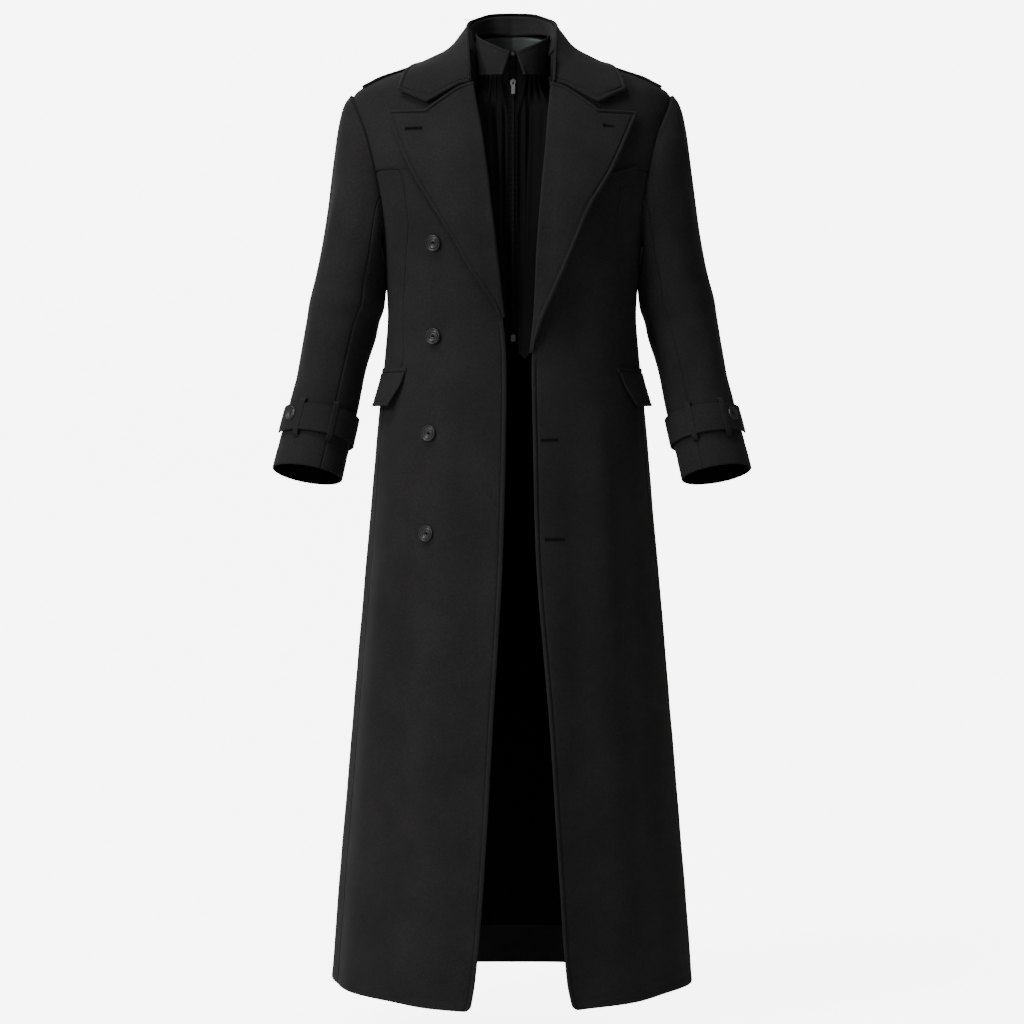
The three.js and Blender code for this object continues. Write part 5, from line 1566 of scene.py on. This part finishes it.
def make_zip_metal():
    place = slope_frame(SLIDER["z"], 8)
    half = SLIDER["height"] / 2
    shape = rounded(SLIDER["width"], -half, half, 2.2)
    shape[:, 0] *= lerp(0.78, 1.0, clamp01((shape[:, 1] + half) / SLIDER["height"] * 1.6))
    verts, faces = block(shape, SLIDER["depth"], 0.6)
    pieces = [metal_piece("zip_slider", place(verts - [0, SLIDER["gap"], 0]), faces, ["zip_slider"])]

    face_y = -SLIDER["gap"] - SLIDER["depth"] - SEAM
    foot = BRIDGE["bar"] * 0.6
    outline = rounded(BRIDGE["rise"], -BRIDGE["height"] / 2, BRIDGE["height"] / 2, 1.4)
    hole = rounded(BRIDGE["rise"] - BRIDGE["bar"] - foot, -BRIDGE["height"] / 2 + BRIDGE["bar"],
                   BRIDGE["height"] / 2 - BRIDGE["bar"], 0.3)
    hole[:, 0] += (foot - BRIDGE["bar"]) / 2
    arch, faces = ring_plate(outline, hole, BRIDGE["width"], 0.2)
    turned = stack(arch[:, 1] + BRIDGE["width"] / 2, face_y - (arch[:, 0] + BRIDGE["rise"] / 2), arch[:, 2])
    pieces.append(metal_piece("zip_bridge", place(turned), faces, ["zip_bridge"]))

    hinge_y = face_y - (foot + BRIDGE["rise"] - BRIDGE["bar"]) / 2
    outline = rounded(PULL["width"], -PULL["length"], PULL["hole_top"], 1.6)
    hole = rounded(PULL["hole_width"], PULL["hole_foot"], PULL["bar_foot"], 0.5)
    tab, faces = ring_plate(outline, hole, PULL["wall"], 0.2)
    tab = tab + np.array([0, hinge_y + PULL["wall"] / 2, 0])
    pieces.append(metal_piece("zip_pull", place(tab), faces, ["zip_pull"], "zip_pull"))

    end = slope_frame(ZIP_BOX["z"], 6)
    verts, faces = block(rounded(ZIP_BOX["width"], -ZIP_BOX["height"] / 2, ZIP_BOX["height"] / 2, 1.0),
                         ZIP_BOX["depth"], 0.4)
    pieces.append(metal_piece("zip_box", end(verts - [0, SLIDER["gap"], 0]), faces, ["zip_box"]))
    verts, faces = block(rounded(HOOK["width"], -HOOK["height"] / 2, HOOK["height"] / 2, 1.2), HOOK["depth"], 0.3)
    hook_y = zip_depth(BIB_TOP) + TAPE_SETBACK - SLIDER["gap"]
    pieces.append(metal_piece("collar_hook", verts + [BIB["middle"], hook_y, HOOK["z"]], faces, ["collar_hook"]))
    return pieces


# Repeats laid out along a line by Geometry Nodes
STITCH_LINES = {}


def line_object(name, points_mm):
    """An open line of edges in metres."""
    mesh = bpy.data.meshes.new(name)
    verts = (np.asarray(points_mm, float) * MM).tolist()
    mesh.from_pydata(verts, [(i, i + 1) for i in range(len(verts) - 1)], [])
    line = bpy.data.objects.new(name, mesh)
    bpy.context.scene.collection.objects.link(line)
    return line


def repeat_tree():
    """A node tree that sets one block after another along a line, each turned to the line's own way."""
    tree = bpy.data.node_groups.new("coat_repeat", "GeometryNodeTree")
    face = tree.interface
    sockets = {"Line": face.new_socket("Line", in_out="INPUT", socket_type="NodeSocketGeometry").identifier}
    face.new_socket("Repeats", in_out="OUTPUT", socket_type="NodeSocketGeometry")
    for label, kind in (("Pitch", "NodeSocketFloat"), ("Size", "NodeSocketVector"), ("Offset", "NodeSocketVector"),
                        ("Rounding", "NodeSocketInt"), ("Material", "NodeSocketMaterial")):
        sockets[label] = face.new_socket(label, in_out="INPUT", socket_type=kind).identifier
    given = add_node(tree, "NodeGroupInput").outputs
    curve = add_node(tree, "GeometryNodeMeshToCurve", links={"Mesh": given["Line"]}).outputs["Curve"]
    even = add_node(tree, "GeometryNodeResampleCurve", {"mode": "LENGTH"}, links={"Curve": curve, "Length": given["Pitch"]})
    cube = add_node(tree, "GeometryNodeMeshCube", inputs={"Vertices X": 2, "Vertices Y": 2, "Vertices Z": 2},
                    links={"Size": given["Size"]})
    moved = add_node(tree, "GeometryNodeTransform", links={"Geometry": cube.outputs["Mesh"],
                                                           "Translation": given["Offset"]})
    soft = add_node(tree, "GeometryNodeSubdivisionSurface", links={"Mesh": moved.outputs["Geometry"],
                                                                   "Level": given["Rounding"]})
    tangent = add_node(tree, "GeometryNodeInputTangent").outputs["Tangent"]
    turned = add_node(tree, "FunctionNodeAlignRotationToVector", {"axis": "X"}, links={"Vector": tangent})
    out = add_node(tree, "FunctionNodeAlignRotationToVector", {"axis": "Z", "pivot_axis": "X"},
                   links={"Rotation": turned.outputs["Rotation"],
                          "Vector": add_node(tree, "GeometryNodeInputNormal").outputs["Normal"]})
    placed = add_node(tree, "GeometryNodeInstanceOnPoints", links={"Points": even.outputs["Curve"],
                      "Instance": soft.outputs["Mesh"], "Rotation": out.outputs["Rotation"]})
    real = add_node(tree, "GeometryNodeRealizeInstances", links={"Geometry": placed.outputs["Instances"]})
    coloured = add_node(tree, "GeometryNodeSetMaterial", links={"Geometry": real.outputs["Geometry"],
                                                                "Material": given["Material"]})
    add_node(tree, "NodeGroupOutput", links={"Repeats": coloured.outputs["Geometry"]})
    return tree, sockets


def repeated(name, lines, pitch, size, material, offset=(0, 0, 0), rounding=1):
    """One object with a block at every pitch along each line, all in millimetres."""
    tree, sockets = repeat_tree()
    parts = []
    for index, points in enumerate(lines):
        line = line_object(f"{name}_line_{index}", points)
        modifier = line.modifiers.new("repeat", "NODES")
        modifier.node_group = tree
        values = {"Pitch": pitch * MM, "Size": [v * MM for v in size], "Offset": [v * MM for v in offset],
                  "Rounding": rounding, "Material": material}
        for label, value in values.items():
            modifier[sockets[label]] = value
        bpy.context.view_layer.update()
        ready = line.evaluated_get(bpy.context.evaluated_depsgraph_get())
        mesh = bpy.data.meshes.new_from_object(ready)
        verts = np.array([v.co for v in mesh.vertices]).reshape(-1, 3) / MM
        parts.append((verts, [tuple(p.vertices) for p in mesh.polygons]))
        line.modifiers.remove(modifier)
        bpy.data.objects.remove(line)
        bpy.data.meshes.remove(mesh)
    bpy.data.node_groups.remove(tree)
    verts, faces = joined(parts)
    return mesh_piece(name, verts, faces, [material])


TEETH = {"pitch": 2.4, "size": (1.25, 1.9, 1.5), "apart": 0.85}


def make_zip_teeth():
    """Metal teeth in two rows down the middle of the tapes, meshed below the slider and parted above it."""
    metal = finishes()["teeth"]
    pieces = []
    for side, sign in SIDES.items():
        points = []
        for z in steps_between(BIB["zip_top"] - 2, BIB["zip_foot"] + 6, 3.0):
            parted = 1.2 * float(smooth((z - SLIDER["z"]) / 20))
            shift = TEETH["pitch"] / 2 if sign > 0 else 0
            points.append((BIB["middle"] + sign * (TEETH["apart"] + parted), tape_depth(z - shift) - 0.55, z - shift))
        teeth = repeated(f"zip_teeth_{side}", [points], TEETH["pitch"], TEETH["size"], metal, rounding=0)
        pieces.append(finish_piece(teeth))
    return pieces


def make_stitches(sizes):
    """Rows of topstitching sunk in their grooves, on every piece that was built with one."""
    if not STITCH_LINES:
        raise ValueError("build the cloth pieces before their stitching")
    thread = finishes()["thread"]
    size = (sizes.stitch_length / MM, sizes.thread_width / MM, sizes.thread_width / MM)
    pieces = []
    for name, lines in STITCH_LINES.items():
        row = repeated(f"{name}_stitches", lines, sizes.stitch_pitch / MM, size, thread)
        pieces.append(finish_piece(row))
    return pieces


def mark_stitches(name, line):
    """Keeps the line on which a piece's topstitching lies."""
    STITCH_LINES.setdefault(name, []).append(np.asarray(line))


def set_lights():
    """A bright room: a soft key from the front and its left, a weak fill, and a pale surround."""
    made = []
    for name, place, aim, size, power in LIGHTS:
        light = bpy.data.lights.new(name, "AREA")
        light.shape = "DISK"
        light.size = size
        light.energy = power
        lamp = bpy.data.objects.new(name, light)
        lamp.location = place
        way = Vector(aim) - Vector(place)
        lamp.rotation_euler = way.to_track_quat("-Z", "Y").to_euler()
        bpy.context.scene.collection.objects.link(lamp)
        made.append(lamp)
    world = bpy.data.worlds.new("studio")
    world.use_nodes = True
    world.node_tree.nodes["Background"].inputs["Color"].default_value = (1, 1, 1, 1)
    world.node_tree.nodes["Background"].inputs["Strength"].default_value = WORLD_STRENGTH
    bpy.context.scene.world = world
    return made


LIGHTS = [
    ("key", (-3.0, -2.6, 1.4), (0, 0, -0.6), 1.4, 165),
    ("fill", (1.2, -3.6, 0.2), (0, 0, -0.7), 1.6, 14),
    ("rim", (-1.6, 2.2, 1.4), (0, 0, -0.4), 1.2, 30),
    ("top", (-0.9, -0.9, 2.3), (0, 0, -0.2), 1.0, 80),
]
WORLD_STRENGTH = 0.17
BACKDROP_GLOW = 6.0
CAMERA = {"place": (0.0, -3.8, -0.542), "lens": 92.1, "shift_y": -0.0898}


def set_camera():
    camera = bpy.data.cameras.new("camera")
    camera.lens = CAMERA["lens"]
    camera.sensor_width = 36
    camera.shift_y = CAMERA["shift_y"]
    eye = bpy.data.objects.new("camera", camera)
    eye.location = CAMERA["place"]
    eye.rotation_euler = (math.radians(90), 0, 0)
    bpy.context.scene.collection.objects.link(eye)
    bpy.context.scene.camera = eye
    return eye


def make_stage():
    """A white floor that turns up into a wall behind the coat."""
    profile = [(-5.5, -1.42), (1.8, -1.42)]
    profile += [(1.8 + 0.8 * math.sin(k * math.pi / 16), -1.42 + 0.8 * (1 - math.cos(k * math.pi / 16)))
                for k in range(1, 9)]
    profile += [(2.6, 3.2)]
    verts = [(x, y, z) for y, z in profile for x in (-5.0, 5.0)]
    faces = [(2 * i, 2 * i + 1, 2 * i + 3, 2 * i + 2) for i in range(len(profile) - 1)]
    mesh = bpy.data.meshes.new("backdrop")
    mesh.from_pydata(verts, [], faces)
    mesh.polygons.foreach_set("use_smooth", [True] * len(faces))
    white, tree, shader = new_material("paper_white_matt", linear("#ffffff"))
    shader.inputs["Base Color"].default_value = (0.9, 0.9, 0.9, 1)
    shader.inputs["Roughness"].default_value = 1.0
    shader.inputs["Emission Color"].default_value = (1, 1, 1, 1)
    seen = add_node(tree, "ShaderNodeLightPath").outputs["Is Camera Ray"]
    glow = add_node(tree, "ShaderNodeMath", {"operation": "MULTIPLY"}, {1: BACKDROP_GLOW}, {0: seen})
    tree.links.new(glow.outputs["Value"], shader.inputs["Emission Strength"])
    mesh.materials.append(white)
    sweep = bpy.data.objects.new("backdrop", mesh)
    bpy.context.scene.collection.objects.link(sweep)
    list(set_lights())
    set_camera()
    return sweep


# Add-on: the sizes and colours that a user changes
class CoatButton(bpy.types.PropertyGroup):
    """Sizes of a turned button."""
    radius: FloatProperty(name="Radius", description="Half the width of the button", default=0.0114, min=0.005,
                          max=0.02, subtype="DISTANCE", unit="LENGTH")
    height: FloatProperty(name="Height", description="Height from the cloth side to the rim", default=0.0042,
                          min=0.002, max=0.008, subtype="DISTANCE", unit="LENGTH")
    seat: FloatProperty(name="Seat", description="Height of the button over the cloth", default=0.00072, min=0.0,
                        max=0.002, subtype="DISTANCE", unit="LENGTH")


def colour_property(name, text, hex_colour):
    return FloatVectorProperty(name=name, description=text, default=linear(hex_colour)[:3], min=0.0, max=1.0, size=3,
                               subtype="COLOR")


class CoatFinish(bpy.types.PropertyGroup):
    """Colours of the cloths, and the sizes of the stitching."""
    wool: colour_property("Wool", "Colour of the melton wool", "#1d1c1c")
    wool_shade: colour_property("Wool shade", "Colour of the wool's darker clouds", "#181717")
    # The satin's default is the lining's black plus painted shade: it is kept far darker than the wool to stand for the
    # shade inside the coat and under the lapels.
    satin: colour_property("Satin", "Colour of the satin lining and the bib", "#030303")
    neck: colour_property("Neck cloth", "Colour of the twill inside the neck", "#333b38")
    button: colour_property("Button", "Colour of the buttons", "#1c1c1d")
    stitch_pitch: FloatProperty(name="Stitch pitch", description="Distance from one stitch to the next",
                                default=0.0036, min=0.002, max=0.01, subtype="DISTANCE", unit="LENGTH")
    stitch_length: FloatProperty(name="Stitch length", description="Length of one stitch", default=0.0029, min=0.001,
                                 max=0.009, subtype="DISTANCE", unit="LENGTH")
    thread_width: FloatProperty(name="Thread width", description="Thickness of the sewing thread", default=0.0006,
                                min=0.0002, max=0.002, subtype="DISTANCE", unit="LENGTH")


class COAT_OT_body(bpy.types.Operator):
    """Build the fronts, side panels and backs"""
    bl_idname = "coat.body"
    bl_label = "Body"

    def execute(self, context):
        for side in SIDES:
            make_front(side)
            make_side(side)
            make_back(side)
        return {"FINISHED"}


class COAT_OT_linings(bpy.types.Operator):
    """Build the satin lining of the back and the cloth at its neck"""
    bl_idname = "coat.linings"
    bl_label = "Linings"

    def execute(self, context):
        for side in SIDES:
            make_linings(side)
        return {"FINISHED"}


class COAT_OT_lapels(bpy.types.Operator):
    """Build the two peak lapels and their buttonholes"""
    bl_idname = "coat.lapels"
    bl_label = "Lapels"

    def execute(self, context):
        for side in SIDES:
            make_lapel(side)
            start, end = LAPEL_HOLES[side]
            make_buttonhole(f"lapel_{side}_buttonhole", start, end, LAPEL_HOLE_LIFT, side)
        return {"FINISHED"}


class COAT_OT_collar(bpy.types.Operator):
    """Build the collar leaf and the collar stand"""
    bl_idname = "coat.collar"
    bl_label = "Collar"

    def execute(self, context):
        make_collar()
        return {"FINISHED"}


class COAT_OT_sleeves(bpy.types.Operator):
    """Build the top and under sleeves"""
    bl_idname = "coat.sleeves"
    bl_label = "Sleeves"

    def execute(self, context):
        for side in SIDES:
            make_sleeve(side)
        return {"FINISHED"}


class COAT_OT_straps(bpy.types.Operator):
    """Build the shoulder straps, the cuff straps and their keeper loops"""
    bl_idname = "coat.straps"
    bl_label = "Straps"

    def execute(self, context):
        for side in SIDES:
            make_shoulder_strap(side)
            make_cuff(side)
        return {"FINISHED"}


class COAT_OT_pockets(bpy.types.Operator):
    """Build the hip pockets and the chest pocket's welt"""
    bl_idname = "coat.pockets"
    bl_label = "Pockets"

    def execute(self, context):
        for side in SIDES:
            make_pocket(side)
        make_chest_welt()
        return {"FINISHED"}


class COAT_OT_buttons(bpy.types.Operator):
    """Build the front and cuff buttons, and the buttonholes of the front"""
    bl_idname = "coat.buttons"
    bl_label = "Buttons"

    def execute(self, context):
        make_front_buttons(context.scene.coat_front_button)
        make_cuff_buttons(context.scene.coat_cuff_button)
        for index, (start, end) in enumerate(FRONT_HOLES):
            make_buttonhole(f"front_left_buttonhole_{index + 1}", start, end, 0.3, "left")
        return {"FINISHED"}


class COAT_OT_bib(bpy.types.Operator):
    """Build the inner bib with its collar, gathered panels and zip tapes"""
    bl_idname = "coat.bib"
    bl_label = "Bib"

    def execute(self, context):
        for side in SIDES:
            make_bib_collar(side)
            make_bib_panel(side)
            make_zip_tape(side)
        return {"FINISHED"}


class COAT_OT_zip(bpy.types.Operator):
    """Build the zip's teeth, slider, bridge, pull and end box, and the collar hook"""
    bl_idname = "coat.zip"
    bl_label = "Zip"

    def execute(self, context):
        make_zip_metal()
        make_zip_teeth()
        return {"FINISHED"}


class COAT_OT_stitches(bpy.types.Operator):
    """Sew the topstitching along the edges that have it"""
    bl_idname = "coat.stitches"
    bl_label = "Stitches"

    def execute(self, context):
        make_stitches(context.scene.coat_finish)
        return {"FINISHED"}


class COAT_OT_stage(bpy.types.Operator):
    """Set the backdrop, the lights and the camera"""
    bl_idname = "coat.stage"
    bl_label = "Stage"

    def execute(self, context):
        make_stage()
        return {"FINISHED"}


OPERATORS = (COAT_OT_body, COAT_OT_linings, COAT_OT_lapels, COAT_OT_collar, COAT_OT_sleeves, COAT_OT_straps,
             COAT_OT_pockets, COAT_OT_buttons, COAT_OT_bib, COAT_OT_zip, COAT_OT_stitches, COAT_OT_stage)


class COAT_PT_pieces(bpy.types.Panel):
    """Sizes, colours and pieces of the overcoat"""
    bl_label = "Overcoat"
    bl_idname = "COAT_PT_pieces"
    bl_space_type = "VIEW_3D"
    bl_region_type = "UI"
    bl_category = "Overcoat"

    def draw(self, context):
        for group in (context.scene.coat_front_button, context.scene.coat_cuff_button, context.scene.coat_finish):
            for name in group.bl_rna.properties.keys():
                if name not in ("rna_type", "name"):
                    self.layout.prop(group, name)
        for operator in OPERATORS:
            self.layout.operator(operator.bl_idname)


CLASSES = (CoatButton, CoatFinish, *OPERATORS, COAT_PT_pieces)
CUFF_BUTTON = {"radius": 0.010, "height": 0.0036, "seat": 0.00065}


def register():
    for cls in CLASSES:
        bpy.utils.register_class(cls)
    bpy.types.Scene.coat_front_button = PointerProperty(type=CoatButton)
    bpy.types.Scene.coat_cuff_button = PointerProperty(type=CoatButton)
    bpy.types.Scene.coat_finish = PointerProperty(type=CoatFinish)


def unregister():
    del bpy.types.Scene.coat_front_button
    del bpy.types.Scene.coat_cuff_button
    del bpy.types.Scene.coat_finish
    for cls in reversed(CLASSES):
        bpy.utils.unregister_class(cls)


def visual_bounds():
    low, high = np.full(3, np.inf), np.full(3, -np.inf)
    staged = {"backdrop", "camera"}
    for item in bpy.context.scene.objects:
        if item.type == "MESH" and item.name not in staged and item.data.vertices:
            points = np.empty(len(item.data.vertices) * 3)
            item.data.vertices.foreach_get("co", points)
            points = points.reshape(-1, 3)
            low, high = np.minimum(low, points.min(axis=0)), np.maximum(high, points.max(axis=0))
    return [low.tolist(), high.tolist()]


def main():
    register()
    for name, value in CUFF_BUTTON.items():
        setattr(bpy.context.scene.coat_cuff_button, name, value)
    for operator in OPERATORS:
        group, name = operator.bl_idname.split(".")
        getattr(getattr(bpy.ops, group), name)()
    {"cad": [[float(v) for v in corner] for corner in CAD_BOX], "visual": visual_bounds()}


if __name__ == "__main__":
    main()
